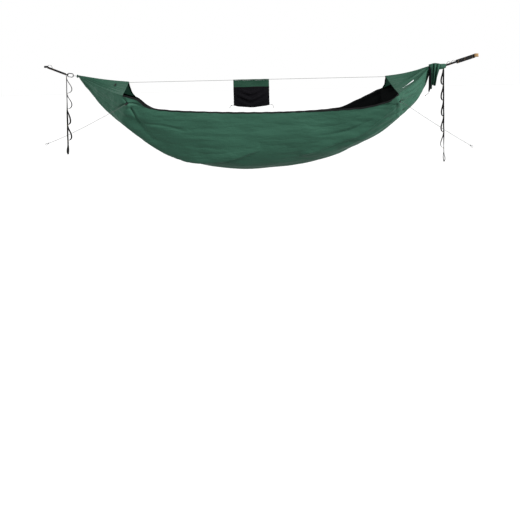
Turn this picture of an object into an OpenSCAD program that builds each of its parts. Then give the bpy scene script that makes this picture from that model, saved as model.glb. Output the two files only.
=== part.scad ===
// Camping hammock with a storm hood at each end, a ridge line that carries an organizer,
// a rolled bug net at the right end, tree straps, carabiners and two guy lines.
// Millimetres. The origin is the centre of the left anchor eye. +X runs along the hammock
// to the right anchor eye, +Z is up, and the near side is -Y.

/* [Suspension] */
// Distance between the two anchor eyes
eye_span = 3230; // [3220:1:3240]
// Height of the right anchor eye above the left one
eye_rise = 15; // [0:1:25]
// Inner radius of an anchor eye
eye_r = 12; // [10:0.5:14]
// Depth of the swing axis below the left anchor eye
hang_drop = 63; // [58:1:68]
// Distance from the left anchor eye to the hang loop on its carabiner
hang_reach = 157; // [155:1:158]
// Width of the narrow webbing
web_w = 15; // [12:0.5:16]
// Thickness of the webbing
web_t = 2; // [1.6:0.1:2.2]
// Width of the broad band at the right anchor
band_w = 29; // [24:1:32]

/* [Carabiners] */
// Distance between the centre lines of a carabiner's two end bars
clip_len = 46; // [45:0.5:47]
// Radius of a carabiner's round ends, at the bar's centre line
clip_r = 13; // [12.5:0.1:14]
// Radius of the carabiner's bar
bar_r = 3; // [2.6:0.1:3.1]
// Radius of the hammock's rope loops
rope_r = 1.75; // [1.5:0.05:1.8]

/* [Body] */
// Length of the fabric body from tip to tip
body_len = 2632; // [2626:1:2636]
// Depth of the empty body below its tips
sag = 724; // [690:2:740]
// How far the body's left tip hangs below its hang loop
left_drop = 15; // [10:1:18]
// How full the bottom's curve is at the left end; lower is fuller
left_fill = 0.94; // [0.88:0.01:1]
// How full the bottom's curve is at the right end
right_fill = 0.65; // [0.6:0.01:0.75]
// Outward bulge of each side panel, as a share of its half width
belly = 0.18; // [0.1:0.01:0.22]
// Thickness of the drawn fabric
cloth_t = 1.2; // [1:0.1:1.5]

/* [Hoods and ridge line] */
// Height of the ridge line below the left anchor eye
ridge_drop = 131; // [128:1:134]
// Left hood's peak, measured from the left anchor eye
left_peak_x = 620; // [610:1:630]
// Right hood's peak, measured from the left anchor eye
right_peak_x = 2543; // [2530:1:2550]
// How far a hood's free edge bows back toward its tip
hood_bow = 6; // [2:1:16]
// Radius of the ridge line
ridge_r = 1.25; // [1:0.05:1.5]

/* [Organizer] */
// Centre of the organizer along the ridge line
pocket_x = 1536; // [1500:5:1600]
// Width of the organizer
pocket_w = 268; // [240:4:280]
// Height of the cloth band at its top
band_h = 50; // [40:1:60]
// Height of its mesh pockets
mesh_h = 142; // [130:1:150]

/* [Tails] */
// Spacing of the daisy loops
loop_pitch = 118; // [114:1:120]
// How far a daisy loop of the left tail bulges from its line
left_bulge = 58; // [40:1:64]
// How far a daisy loop of the right tail bulges from its line
right_bulge = 35; // [24:1:40]
// Turn of each tail about the vertical
tail_turn = 28; // [20:1:35]
// Number of daisy loops on the left tail
left_loops = 4; // [3:1:5]
// Number of daisy loops on the right tail
right_loops = 5; // [4:1:6]

/* [Guy lines] */
// Diameter of the guy lines
guy_d = 2.4; // [2:0.1:3]

/* [Hidden] */
$fn = 40;

mid_x = hang_reach + 1409;            // middle of the hammock
right_hang_x = 2 * mid_x - hang_reach;
hang_z = -hang_drop;
ridge_z = -ridge_drop;
half_len = body_len / 2;
tip_r = 7;                            // half width of the cloth at a tip
left_tip_z = hang_z - left_drop;
right_tip_z = hang_z;
lowest_z = right_tip_z - tip_r - sag;
gap = 0.3;                            // air between neighbouring layers
lining_t = 1;
tack_t = 0.5;

green = [0.20, 0.36, 0.29];
dark_green = [0.15, 0.28, 0.23];
black = [0.08, 0.08, 0.09];
grey = [0.60, 0.61, 0.60];
tan_thread = [0.68, 0.56, 0.38];
steel = [0.75, 0.76, 0.78];

// Top of each long edge from the left tip to the right tip: x, near y, near z, far y, far z
EDGES = [
    [250, -7, -78, 7, -78], [330, -80, -113, 80, -116], [470, -230, -172, 230, -182],
    [560, -330, -205, 330, -222], [625, -380, -222, 380, -246], [720, -370, -250, 372, -318],
    [786, -362, -302, 362, -348], [900, -350, -330, 350, -366], [1160, -336, -350, 336, -380],
    [1540, -330, -364, 330, -388], [1950, -334, -363, 334, -384], [2240, -346, -352, 346, -362],
    [2340, -352, -344, 352, -322], [2450, -364, -320, 364, -274], [2530, -374, -292, 374, -236],
    [2571, -380, -256, 380, -222], [2640, -318, -222, 318, -190], [2740, -205, -168, 205, -150],
    [2820, -92, -112, 92, -106], [2882, -7, -63, 7, -63]
];
LAST = len(EDGES) - 1;
LEFT_CORNER = 4;                      // rows of EDGES where the hoods' corners are
RIGHT_CORNER = 15;
BODY_X = [for (i = [0:LAST - 1], s = [0, 0.5]) lerp(EDGES[i][0], EDGES[i + 1][0], s)];

// Route of each guy line: straight from the tie tab out to its stake loop
LEFT_GUY = [
    [640, -377, -290], [622, -388, -301], [600, -400, -314], [540, -430, -347], [480, -456, -379],
    [420, -479, -411], [360, -501, -441], [300, -524, -470], [250, -543, -493], [200, -562, -514],
    [170, -575, -526], [146, -585.5, -535.5], [141.5, -587.5, -540], [138, -589, -543.5],
    [134.5, -590.5, -545.5], [130.5, -592, -546], [127.5, -593.5, -543.5], [127, -593.5, -540],
    [129, -592.5, -536.5], [133, -591, -535.5], [138, -589, -535], [142.5, -587, -534]
];
RIGHT_GUY = [
    [2580, -391, -313], [2596, -398, -322], [2620, -408, -337], [2670, -430, -373],
    [2720, -452, -411], [2770, -474, -447], [2820, -496, -483], [2870, -518, -519],
    [2920, -540, -553], [2960, -559, -580], [2990, -573, -600], [3010, -582.5, -613.5],
    [3013.5, -584, -618.5], [3016.5, -585.5, -623], [3019.5, -587, -626], [3023, -589, -627],
    [3026.5, -590.5, -625.5], [3027.5, -591, -621.5], [3026, -590, -618], [3022.5, -588.5, -616],
    [3018, -586, -614.5], [3013.5, -584, -612.5]
];

// ---------- functions ----------

function lerp(a, b, t) = a + (b - a) * t;
function unit(v) = v / norm(v);
function row_of(x) = max([for (i = [0:LAST - 1]) if (i == 0 || EDGES[i][0] <= x) i]);
function slope(i, k) =
    let (a = max(i - 1, 0), b = min(i + 1, LAST))
    (EDGES[b][k] - EDGES[a][k]) / (EDGES[b][0] - EDGES[a][0]);
// Column k of EDGES at x, on a smooth curve through its points
function edge(x, k) =
    let (i = row_of(x), h = EDGES[i + 1][0] - EDGES[i][0], t = (x - EDGES[i][0]) / h)
    (2 * t ^ 3 - 3 * t ^ 2 + 1) * EDGES[i][k] + (t ^ 3 - 2 * t ^ 2 + t) * h * slope(i, k)
    + (3 * t ^ 2 - 2 * t ^ 3) * EDGES[i + 1][k] + (t ^ 3 - t ^ 2) * h * slope(i + 1, k);
function bottom_z(x) =
    let (s = min(abs(x - mid_x) / (half_len + 4), 1), left = x < mid_x,
         top = (left ? left_tip_z : right_tip_z) - tip_r)
    lerp(top, lowest_z, left ? (1 - s ^ 2.4) ^ left_fill : (1 - s ^ 2) ^ right_fill);
// The body's outer face: w runs from -1 at the near edge over 0 at the bottom to 1 at the far edge
function body_at(x, w) =
    let (far = w > 0, t = abs(w), low = bottom_z(x), ez = edge(x, far ? 4 : 2))
    [x, edge(x, far ? 3 : 1) * t * (1 + belly * (1 - t ^ 2)), low + (ez - low) * t ^ 2.2];
// The hoods' top line, which sags a little between a tip and a peak
function ridge_at(x, peak_x) =
    let (left = peak_x < mid_x, end = left ? EDGES[0][0] : EDGES[LAST][0],
         t = (x - end) / (peak_x - end))
    [x, 0, lerp((left ? left_tip_z : right_tip_z) + tip_r, ridge_z + 5, t)
           - (left ? 6 : 12) * sin(180 * t)];
// A hood's outer face: u from its tip to its free edge, v from the long edge up to the ridge
function hood_at(left, far, u, v) =
    let (tip = left ? EDGES[0][0] : EDGES[LAST][0], peak = left ? left_peak_x : right_peak_x,
         corner = EDGES[left ? LEFT_CORNER : RIGHT_CORNER][0], out = left ? -1 : 1,
         end = lerp(corner, peak, v) + out * hood_bow * sin(180 * v),
         foot = lerp(tip, corner, u), top = lerp(tip, peak, u), x = lerp(tip, end, u),
         low = [foot, edge(foot, far ? 3 : 1), edge(foot, far ? 4 : 2)],
         high = ridge_at(top, peak))
    [x, lerp(low.y, high.y, v), lerp(low.z, high.z, v) - 14 * u * sin(180 * v)];

// ---------- shared modules ----------

function facing(at, u, v) =
    let (e = 0.01, a = at(min(u + e, 1), v) - at(max(u - e, 0), v),
         b = at(u, min(v + e, 1)) - at(u, max(v - e, 0)))
    unit(cross(a, b));
function skin(at, us, vs, off) = [for (u = us, v = vs) at(u, v) + facing(at, u, v) * off];
// A closed sheet over at(u, v), between two offsets along the face's normal
module sheet(at, us, vs, from, to) {
    m = len(vs);
    n = len(us);
    q = n * m;
    points = concat(skin(at, us, vs, from), skin(at, us, vs, to));
    cells = [for (i = [0:n - 2], j = [0:m - 2]) [i * m + j, (i + 1) * m + j,
                                               (i + 1) * m + j + 1, i * m + j + 1]];
    rim = concat([for (j = [0:m - 1]) j], [for (i = [1:n - 1]) i * m + m - 1],
                 [for (j = [m - 2:-1:0]) (n - 1) * m + j], [for (i = [n - 2:-1:1]) i * m]);
    faces = concat(
        [for (c = cells) [c[0], c[1], c[2]]], [for (c = cells) [c[0], c[2], c[3]]],
        [for (c = cells) [q + c[2], q + c[1], q + c[0]]],
        [for (c = cells) [q + c[3], q + c[2], q + c[0]]],
        [for (k = [0:len(rim) - 1]) let (a = rim[k], b = rim[(k + 1) % len(rim)])
            each [[a, b, b + q], [a, b + q, a + q]]]);
    polyhedron(points, faces, convexity = 10);
}
function steps(a, b, n) = [for (i = [0:n]) lerp(a, b, i / n)];

// A round cord along a route, with a ring at every point
module cord(route, r, sides = 8) {
    last = len(route) - 1;
    along = [for (i = [0:last]) unit(route[min(i + 1, last)] - route[max(i - 1, 0)])];
    rings = [for (i = [0:last])
        let (side = unit(cross(along[i], [0, 0, 1])), up = cross(side, along[i]))
        each [for (k = [0:sides - 1]) route[i] + r * (cos(360 * k / sides) * side
                                                      + sin(360 * k / sides) * up)]];
    faces = concat(
        [[for (k = [sides - 1:-1:0]) k]], [[for (k = [0:sides - 1]) last * sides + k]],
        [for (i = [0:last - 1], k = [0:sides - 1])
            let (a = i * sides + k, b = i * sides + (k + 1) % sides)
            each [[a, b, b + sides], [a, b + sides, a + sides]]]);
    polyhedron(rings, faces, convexity = 10);
}
// A strip of webbing that follows points of the XZ plane, its width along Y
function beside(path, d) =
    [for (i = [0:len(path) - 1])
        let (t = unit(path[min(i + 1, len(path) - 1)] - path[max(i - 1, 0)]))
        path[i] + d * [-t.y, t.x]];
module ribbon(path, thick, width) {
    back = beside(path, thick / 2);
    rotate([90, 0, 0]) linear_extrude(width, center = true)
        polygon(concat(beside(path, -thick / 2), [for (i = [len(back) - 1:-1:0]) back[i]]));
}
module rod(a, b, r) {
    d = b - a;
    translate(a) rotate([0, acos(d.z / norm(d)), atan2(d.y, d.x)]) cylinder(h = norm(d), r = r);
}
// Turns what is drawn between the hang loop and the tip down to the lower left tip
module slung() translate(left_hang + [1.2, 0, 0]) rotate([0, sling_tilt, 0])
    translate(-left_hang) children();
module on_right() translate([2 * mid_x, 0, 0]) mirror([1, 0, 0]) children();
module ring(centre, inner, outer, height) translate(centre) difference() {
    cylinder(h = height, r = outer, center = true);
    cylinder(h = height + 2, r = inner, center = true);
}
// Upright webbing between two points, cut square at its ends
module upright_web(a, b, wide, thick) rotate([90, 0, 0]) linear_extrude(thick, center = true)
    polygon([[a.x, a.z - wide / 2], [b.x, b.z - wide / 2], [b.x, b.z + wide / 2],
             [a.x, a.z + wide / 2]]);

// ---------- tree straps ----------

hang_r = bar_r + 3.8;                 // inner radius of the right hang loop
left_hang_r = bar_r + 5.6;            // the left one is wider: its carabiner hangs at a slant
left_hang = [hang_reach, 0, hang_z];
right_hang = [right_hang_x, 0, hang_z];
sling_tilt = asin(left_drop / (EDGES[0][0] - hang_reach));
right_eye = [eye_span, 0, eye_rise];
band_start = 0.40;                    // where the broad band begins, from hang loop to eye
function on_left(t) = lerp([0, 0, 0], left_hang, t);
function along_right(t) = lerp(right_hang, right_eye, t);
module left_anchor_eye() color(black) ring([0, 0, 0], eye_r, eye_r + web_t, web_w);
module left_tree_strap() color(black) difference() {
    upright_web(on_left(0), on_left(1), web_w, web_t);
    cylinder(h = 60, r = eye_r + web_t, center = true);
    translate(left_hang) cylinder(h = 60, r = left_hang_r + web_t, center = true);
}
module left_slack_loop() color(black) {
    seat = on_left(0.33).z + web_w / 2 + 1.2;
    ribbon([[eye_r + 3, web_w / 2 - 4], [18, 9], [26, 12], [34, 11.5], [42, 6], [47, seat + 1],
            [51, seat]], 1.4, web_w - 4);
}
module left_hang_loop() color(black)
    ring(left_hang, left_hang_r, left_hang_r + web_t, web_w - 5);   // folded narrow in the clip
module tack_pair(p, wide, high, thick) for (s = [-1, 1])
    translate(p + [0, s * (thick / 2 + tack_t / 2), 0])
        cube([wide, tack_t, high], center = true);
module left_strap_tacks() color(tan_thread)
    for (t = [0.16, 0.34, 0.90]) tack_pair(on_left(t), 4, web_w - 6, web_t);

module right_anchor_eye() color(tan_thread) ring(right_eye, eye_r, eye_r + 3, band_w - 3);
module right_tree_band() color(black) difference() {
    upright_web(along_right(band_start), right_eye, band_w, web_t + 1);
    translate(right_eye) cylinder(h = 80, r = eye_r + 3, center = true);
}
module right_tree_strap() color(black) difference() {
    upright_web(right_hang, along_right(band_start), web_w, web_t);
    translate(right_hang) cylinder(h = 60, r = hang_r + web_t, center = true);
}
// A point of the XZ plane, along and above the top edge of the right strap
function over_strap(a, h) =
    [right_hang_x + a, along_right(a / (eye_span - right_hang_x)).z + web_w / 2 + 1.4 + h];
module right_slack_loops() color(black) {
    for (hump = [[[29, 0.3], [34, 7], [40, 12], [47, 11], [53, 4], [57, 0.3]],
                 [[62, 0.3], [68, 5], [76, 9], [84, 8.5], [92, 4], [97, 0.3]]])
        ribbon([for (p = hump) over_strap(p[0], p[1])], 1.4, web_w - 4);
}
module right_hang_loop() color(black) ring(right_hang, hang_r, hang_r + web_t, web_w);
module right_strap_tacks() color(tan_thread) {
    for (t = [0.08, 0.235]) tack_pair(along_right(t), 4, web_w - 6, web_t);
    for (t = [0.46, 0.66, 0.88]) tack_pair(along_right(t), 4, band_w - 12, web_t + 1);
}

// ---------- carabiners, drawn at the left end ----------

clip_x = hang_reach + 1;              // centre line of the bar in the hang loop
clip_end = clip_x + clip_len;         // centre line of the bar in the rope loop
pin_r = 0.9;
gate_r = 2.6;
gate_from = 1.2;                      // gate's start, past the left round end
pivot = [clip_x + clip_r + 2.5, 0, hang_z - clip_r];
gate_end = clip_end - clip_r - 0.4;
module bar_arc(centre, from) translate(centre) rotate([90, 0, 0]) rotate([0, 0, from])
    rotate_extrude(angle = 180) translate([clip_r, 0]) circle(bar_r);
module clip_frame() {
    c0 = [clip_x + clip_r, 0, hang_z];
    c1 = [clip_end - clip_r, 0, hang_z];
    difference() {
        union() {
            bar_arc(c0, 90);
            bar_arc(c1, -90);
            translate([c0.x, 0, hang_z + clip_r]) rotate([0, 90, 0])
                cylinder(h = c1.x - c0.x, r = bar_r);
            translate([c0.x - 1, -1.1, hang_z - clip_r - 2]) cube([5.4, 2.2, 4]);
        }
        translate(pivot) rotate([90, 0, 0]) cylinder(h = 20, r = pin_r, center = true);
    }
}
module clip_gate() difference() {
    translate([clip_x + clip_r + gate_from, 0, pivot.z]) rotate([0, 90, 0])
        cylinder(h = gate_end - clip_x - clip_r - gate_from, r = gate_r);
    translate([clip_x + clip_r, -1.4, pivot.z - 4]) cube([5.4, 2.8, 8]);
    translate(pivot) rotate([90, 0, 0]) cylinder(h = 20, r = pin_r + 0.15, center = true);
}
module clip_pin() translate(pivot) rotate([90, 0, 0])
    cylinder(h = 2 * gate_r, r = pin_r, center = true);
module left_carabiner_frame() color(black) slung() clip_frame();
module right_carabiner_frame() color(black) on_right() clip_frame();
module left_gate() color(steel) slung() clip_gate();
module right_gate() color(steel) on_right() clip_gate();
module left_gate_pin() color(steel) slung() clip_pin();
module right_gate_pin() color(steel) on_right() clip_pin();

// ---------- daisy-chain tails: drawn with their line on the Z axis, hanging from the origin ----------

tail_air = 0.9;
tail_off = 5;                         // the tail hangs this far outside its hang loop
right_lean = 1;                       // the right tail leans in by this angle
first_tack = 16;
line_t = 1.6;
module tail_frame(hang, out, lean, turn)
    translate(hang + [out * tail_off, 0, -web_w / 2 - tail_air])
        rotate([0, lean, 0]) rotate([0, 0, turn]) children();
module left_tail() tail_frame(left_hang, -1, 0, -tail_turn) children();
module right_tail() tail_frame(right_hang, 1, right_lean, 180 + tail_turn) children();
function tail_len(loops) = first_tack + loops * loop_pitch + 100;
// Side of one daisy loop: v runs from its upper tack to its lower one
function loop_out(v, bulge) =
    line_t * 1.1 + bulge * 2.2 * v ^ 1.8 * (1 - v) ^ 0.5 * (1.4 - 0.6 * v);
module tail_line(loops) {
    end = tail_len(loops);
    knot = end - 74;
    ribbon([for (z = [0, -knot]) [0, z]], line_t, web_w);
    ribbon([for (a = steps(0, 1, 16)) [-11 * sin(180 * a) * (0.25 + a), -knot - 74 * a ^ 0.8]],
           line_t, web_w - 1);
}
module tail_loops(loops, bulge) for (k = [0:loops - 1])
    ribbon([for (v = steps(0, 1, 16))
            [loop_out(v, bulge), -first_tack - k * loop_pitch - 4 - v * (loop_pitch - 8)]],
           line_t, web_w);
module tail_tacks(loops) for (k = [0:loops])
    translate([-line_t / 2 - tack_t, -web_w / 2 + 2, -first_tack - k * loop_pitch - 2])
        cube([tack_t, web_w - 4, 5]);
module left_tail_line() color(black) left_tail() tail_line(left_loops);
module left_tail_loops() color(black) left_tail() tail_loops(left_loops, left_bulge);
module left_tail_tacks() color(tan_thread) left_tail() tail_tacks(left_loops);
module right_tail_line() color(black) right_tail() tail_line(right_loops);
module right_tail_loops() color(black) right_tail() tail_loops(right_loops, right_bulge);
module right_tail_tacks() color(tan_thread) right_tail() tail_tacks(right_loops);

// ---------- hammock body ----------

edge_w = 0.965;                       // where the cloth ends under its binding
function body_u(u, w) = body_at(lerp(EDGES[0][0], EDGES[LAST][0], u), w);
BODY_U = [for (x = concat(BODY_X, [EDGES[LAST][0]]))
    (x - EDGES[0][0]) / (EDGES[LAST][0] - EDGES[0][0])];
BIND_U = [for (u = BODY_U) if (u > 0.142 && u < 0.878) u];
BODY_V = concat([0, 0.02], steps(0.07, 0.93, 14), [0.98, 1]);
function body_uv(u, v) = body_u(u, lerp(-edge_w, edge_w, v));
module outer_shell() color(green)
    sheet(function(u, v) body_uv(u, v), BODY_U, BODY_V, 0, -cloth_t);
module inner_lining() color(black)
    sheet(function(u, v) body_uv(u, v), [for (u = BODY_U) if (u > 0.02 && u < 0.98) u],
          [for (v = BODY_V) if (v > 0 && v < 1) v], -cloth_t - gap, -cloth_t - gap - lining_t);
module edge_strip(a, b) color(black)
    sheet(function(u, v) body_u(u, lerp(a, b, v)), BIND_U, [0, 0.5, 1], 0.8, -3.4);
module near_edge_binding() edge_strip(-1, -edge_w - 0.003);
module far_edge_binding() edge_strip(edge_w + 0.003, 1);

// ---------- gathered ends, drawn at the left ----------

knob_x = EDGES[0][0] - 14;
neck_x = EDGES[0][0] - 10;
loop_r = 6.2;                         // half width of the rope loop
module along_x(x) translate([x, 0, hang_z]) rotate([0, 90, 0]) children();
module gather() along_x(knob_x) rotate_extrude()
    polygon([[0, 0], [9, 0], [10.5, 1.5], [10, 3.5], [6.2, 4], [6.2, 13.7], [0, 13.7]]);
module whipping() for (k = [0:3]) along_x(neck_x + 1.3 + k * 2.5)
    rotate_extrude() translate([7.45, 0]) circle(1.2);
module rope_loop() {
    crown = clip_end - bar_r - rope_r - 0.6 + loop_r;
    translate([crown, 0, hang_z]) rotate([0, 0, 90]) rotate_extrude(angle = 180)
        translate([loop_r, 0]) circle(rope_r);
    for (s = [-1, 1]) translate([crown, s * loop_r, hang_z]) rotate([0, 90, 0])
        cylinder(h = knob_x - crown, r = rope_r);
}
module left_gather() color(dark_green) slung() gather();
module left_whipping() color(grey) slung() whipping();
module left_rope_loop() color(grey) slung() rope_loop();
module right_gather() color(dark_green) on_right() gather();
module right_whipping() color(grey) on_right() whipping();
module right_rope_loop() color(grey) on_right() rope_loop();

// ---------- storm hoods and ridge line ----------

hood_rim = 0.965;
hood_low = 0.015;                     // where a panel starts, above the long edge
hood_top = 0.988;                     // where a panel ends, just short of the ridge
bind_low = 0.07;
bind_top = 0.985;
module hood(left, far, from, to) {
    side = (left ? 1 : -1) * (far ? -1 : 1);
    sheet(function(u, v) hood_at(left, far, lerp(from, to, u),
                                 side > 0 ? lerp(hood_low, hood_top, v)
                                          : lerp(hood_top, hood_low, v)),
          steps(0, 1, 12), steps(0, 1, 8), -cloth_t, 0);
}
module hood_edge(left) for (far = [false, true]) {
    side = (left ? 1 : -1) * (far ? -1 : 1);
    sheet(function(u, v) hood_at(left, far, lerp(hood_rim + 0.002, 1, u),
                                 side > 0 ? lerp(bind_low, bind_top, v)
                                          : lerp(bind_top, bind_low, v)),
          [0, 1], steps(0, 1, 10), -2.2, 0.8);
}
module left_hood_near() color(green) hood(true, false, 0.02, hood_rim);
module left_hood_far() color(green) hood(true, true, 0.02, hood_rim);
module right_hood_near() color(green) hood(false, false, 0.02, hood_rim);
module right_hood_far() color(green) hood(false, true, 0.02, hood_rim);
module left_hood_binding() color(black) hood_edge(true);
module right_hood_binding() color(black) hood_edge(false);
module ridge_line() color(grey) {
    a = [left_peak_x, 0, ridge_z];
    b = [right_peak_x, 0, ridge_z];
    tie_drop = 20;
    rod(a, b, ridge_r);
    rod([EDGES[0][0] + 60, 0, lerp(left_tip_z, ridge_z, 60 / 370) - tie_drop], a, ridge_r);
    rod(b, [EDGES[LAST][0] - 60, 0, lerp(right_tip_z, ridge_z, 60 / 353) - tie_drop], ridge_r);
    for (p = [a, b]) translate(p) sphere(r = 3.4);
}

// ---------- tie tabs, guy lines and small sewn pieces ----------

// A folded loop of webbing that stands out from a side panel, sewn on at p
module tie_tab(p, yaw, pitch, len) translate(p) rotate([0, pitch, yaw])
    linear_extrude(12, center = true) difference() {
        union() {
            translate([0, -2.7]) square([len, 5.4]);
            translate([len, 0]) circle(2.7);
        }
        translate([4, -1.5]) square([len - 4, 3]);
        translate([len, 0]) circle(1.5);
    }
module left_near_tie_tab() color(black) tie_tab([660, -362, -277], 215, 28, 22);
module left_far_tie_tab() color(black) tie_tab([660, 364, -290], 145, 28, 22);
module right_near_tie_tab() color(black) tie_tab([2556, -370, -296], -40, 28, 30);
module right_far_tie_tab() color(black) tie_tab([2556, 372, -280], 40, 28, 22);
module left_guy_line() color(grey) cord(LEFT_GUY, guy_d / 2);
module right_guy_line() color(grey) cord(RIGHT_GUY, guy_d / 2);
module gear_loop() color(black)
    sheet(function(u, v) hood_at(true, false, lerp(0.76, 0.79, u), lerp(0.58, 0.78, v)),
          [0, 1], steps(0, 1, 4), gap, 1.9);
module reflective_strip() color(grey)
    sheet(function(u, v) hood_at(false, false, lerp(0.84, 0.51, u), lerp(0.17, 0.24, u) + 0.04 * v),
          steps(0, 1, 6), [0, 1], gap, 0.9);

// ---------- rolled bug net at the right end ----------

tube_in = 17.5;
tube_out = 20;
tube_from = EDGES[LAST][0] + 16;      // clear of the gathered end
tube_len = 64;                        // closed all round
cap_len = 38;                         // open below, over the tail's top
module net_sleeve() color(green) {
    along_x(tube_from) difference() {
        cylinder(h = tube_len + cap_len, r = tube_out);
        translate([0, 0, -1]) cylinder(h = tube_len + cap_len + 2, r = tube_in);
        translate([-2, -30, tube_len]) cube([40, 60, cap_len + 2]);
    }
}
function flap_at(u, v) =
    let (x = lerp(2866, lerp(2958, 2920, v), u), fold = 9 * sin(360 * 2.5 * u + 40 * v) * (0.3 + v))
    [x, -34 + fold - 6 * v, lerp(-64, lerp(-222, -200, u) + 12 * sin(400 * u), v)];
module net_flap() color(green) sheet(function(u, v) flap_at(u, v), steps(0, 1, 22),
                                     steps(0, 1, 10), 0.8, -0.8);
module net_roll() color(black) cord([[2866, -50, -76], [2867, -52, -110], [2866, -53, -150],
    [2864, -52, -190], [2861, -51, -220], [2856, -50, -250]], 6, 10);

// ---------- organizer ----------

chan_in = ridge_r + 1.1;
chan_out = chan_in + 1.4;
band_top = ridge_z - chan_out - gap;
band_low = band_top - band_h;
pocket_low = band_low - mesh_h;
module panel(x0, x1, z0, z1, y, thick) translate([x0, y, z1]) cube([x1 - x0, thick, z0 - z1]);
module organizer_channel() color(dark_green)
    translate([pocket_x - pocket_w / 2, 0, ridge_z]) rotate([0, 90, 0]) difference() {
        cylinder(h = pocket_w, r = chan_out);
        translate([0, 0, -1]) cylinder(h = pocket_w + 2, r = chan_in);
    }
module organizer_band() color(green)
    panel(pocket_x - pocket_w / 2, pocket_x + pocket_w / 2, band_top, band_low, -1, 2);
module organizer_back() color(black)
    panel(pocket_x - pocket_w / 2 + 7, pocket_x + pocket_w / 2 - 7, band_low, pocket_low + 7, 0.3, 1);
module organizer_pockets() color(black) {
    x0 = pocket_x - pocket_w / 2 + 7;
    x1 = pocket_x + pocket_w / 2 - 7;
    front = [for (a = steps(0, 1, 12)) [lerp(x0, x1, a), -2 - 16 * sin(180 * a)]];
    back = [for (a = steps(1, 0, 12)) [lerp(x0, x1, a), -0.8 - 16 * sin(180 * a)]];
    translate([0, 0, pocket_low + 7]) linear_extrude(mesh_h - 24) polygon(concat(front, back));
    translate([0, 0, pocket_low + 7])
        linear_extrude(1.2) polygon(concat(front, [[x1, 0.2], [x0, 0.2]]));
}
module organizer_binding() color(black) {
    for (s = [-1, 1])
        translate([pocket_x + s * (pocket_w / 2 - 3.4) - 3.4, -1.4, pocket_low])
            cube([6.8, 2.8, mesh_h]);
    panel(pocket_x - pocket_w / 2 + 7, pocket_x + pocket_w / 2 - 7, pocket_low + 6.6,
          pocket_low, -1.4, 2.8);
}
module organizer_hem_cord() color(black) {
    z = pocket_low - 1.5;
    x0 = pocket_x - pocket_w / 2;
    x1 = pocket_x + pocket_w / 2;
    cord([[x0 - 34, -3, z - 2], [x0 - 24, -2, z + 3], [x0 - 12, 0, z], [x0, 0, z],
          [pocket_x, 0, z - 0.2], [x1, 0, z], [x1 + 12, 0, z + 2], [x1 + 22, -2, z + 6],
          [x1 + 34, -3, z - 1]], 1.2);
}

left_anchor_eye();
left_tree_strap();
left_slack_loop();
left_hang_loop();
left_strap_tacks();
left_carabiner_frame();
left_gate();
left_gate_pin();
right_anchor_eye();
right_tree_band();
right_tree_strap();
right_slack_loops();
right_hang_loop();
right_strap_tacks();
right_carabiner_frame();
right_gate();
right_gate_pin();
left_tail_line();
left_tail_loops();
left_tail_tacks();
right_tail_line();
right_tail_loops();
right_tail_tacks();
outer_shell();
inner_lining();
near_edge_binding();
far_edge_binding();
left_gather();
left_whipping();
left_rope_loop();
right_gather();
right_whipping();
right_rope_loop();
left_hood_near();
left_hood_far();
left_hood_binding();
right_hood_near();
right_hood_far();
right_hood_binding();
ridge_line();
left_near_tie_tab();
left_far_tie_tab();
right_near_tie_tab();
right_far_tie_tab();
left_guy_line();
right_guy_line();
gear_loop();
reflective_strip();
net_sleeve();
net_flap();
net_roll();
organizer_channel();
organizer_band();
organizer_back();
organizer_pockets();
organizer_binding();
organizer_hem_cord();
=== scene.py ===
import math

import bpy
import numpy as np
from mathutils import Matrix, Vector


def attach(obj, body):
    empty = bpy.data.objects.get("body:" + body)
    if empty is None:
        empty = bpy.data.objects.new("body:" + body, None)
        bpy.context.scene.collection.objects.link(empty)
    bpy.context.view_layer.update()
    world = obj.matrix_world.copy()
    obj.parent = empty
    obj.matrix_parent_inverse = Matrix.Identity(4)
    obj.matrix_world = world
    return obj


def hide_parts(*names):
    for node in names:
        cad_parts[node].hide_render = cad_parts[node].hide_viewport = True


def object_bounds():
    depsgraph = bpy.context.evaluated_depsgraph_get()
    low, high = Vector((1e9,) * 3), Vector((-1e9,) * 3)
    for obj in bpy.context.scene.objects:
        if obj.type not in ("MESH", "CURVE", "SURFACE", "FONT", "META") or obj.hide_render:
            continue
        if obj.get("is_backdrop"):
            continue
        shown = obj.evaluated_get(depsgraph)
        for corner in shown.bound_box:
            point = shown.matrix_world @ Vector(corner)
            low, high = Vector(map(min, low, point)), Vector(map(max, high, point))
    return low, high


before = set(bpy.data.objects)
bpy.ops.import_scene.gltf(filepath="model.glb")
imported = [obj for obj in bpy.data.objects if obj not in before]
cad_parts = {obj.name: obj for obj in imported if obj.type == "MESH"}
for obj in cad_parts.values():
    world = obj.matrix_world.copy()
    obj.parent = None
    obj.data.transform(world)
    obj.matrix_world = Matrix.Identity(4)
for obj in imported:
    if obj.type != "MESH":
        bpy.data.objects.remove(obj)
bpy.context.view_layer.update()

# ---------- camera, floor and light ----------

scene = bpy.context.scene
scene.view_settings.view_transform = "Standard"
camera = bpy.data.objects.new("camera", bpy.data.cameras.new("camera"))
scene.collection.objects.link(camera)
camera.location = (1.485, -6.225, -0.164)
camera.rotation_euler = (math.radians(90), math.radians(1.3), 0)
camera.data.sensor_width = 36
camera.data.lens = 57.46
camera.data.shift_x = 0.030
camera.data.shift_y = -0.338
camera.data.clip_end = 2000
scene.camera = camera

FLOOR_Z = -6.0


def soft_sun(name, way, spread, strength):
    """A distant softbox that shines along a direction."""
    data = bpy.data.lights.new(name, "SUN")
    data.energy, data.angle = strength, math.radians(spread)
    lamp = bpy.data.objects.new(name, data)
    scene.collection.objects.link(lamp)
    x, y, z = way
    lamp.rotation_euler = (math.atan2(math.hypot(x, y), -z), 0, math.atan2(-x, y))


soft_sun("key", (-0.78, 0.52, -0.36), 24, 6.2)
soft_sun("fill", (0.92, 0.38, -0.08), 30, 2.8)

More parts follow.
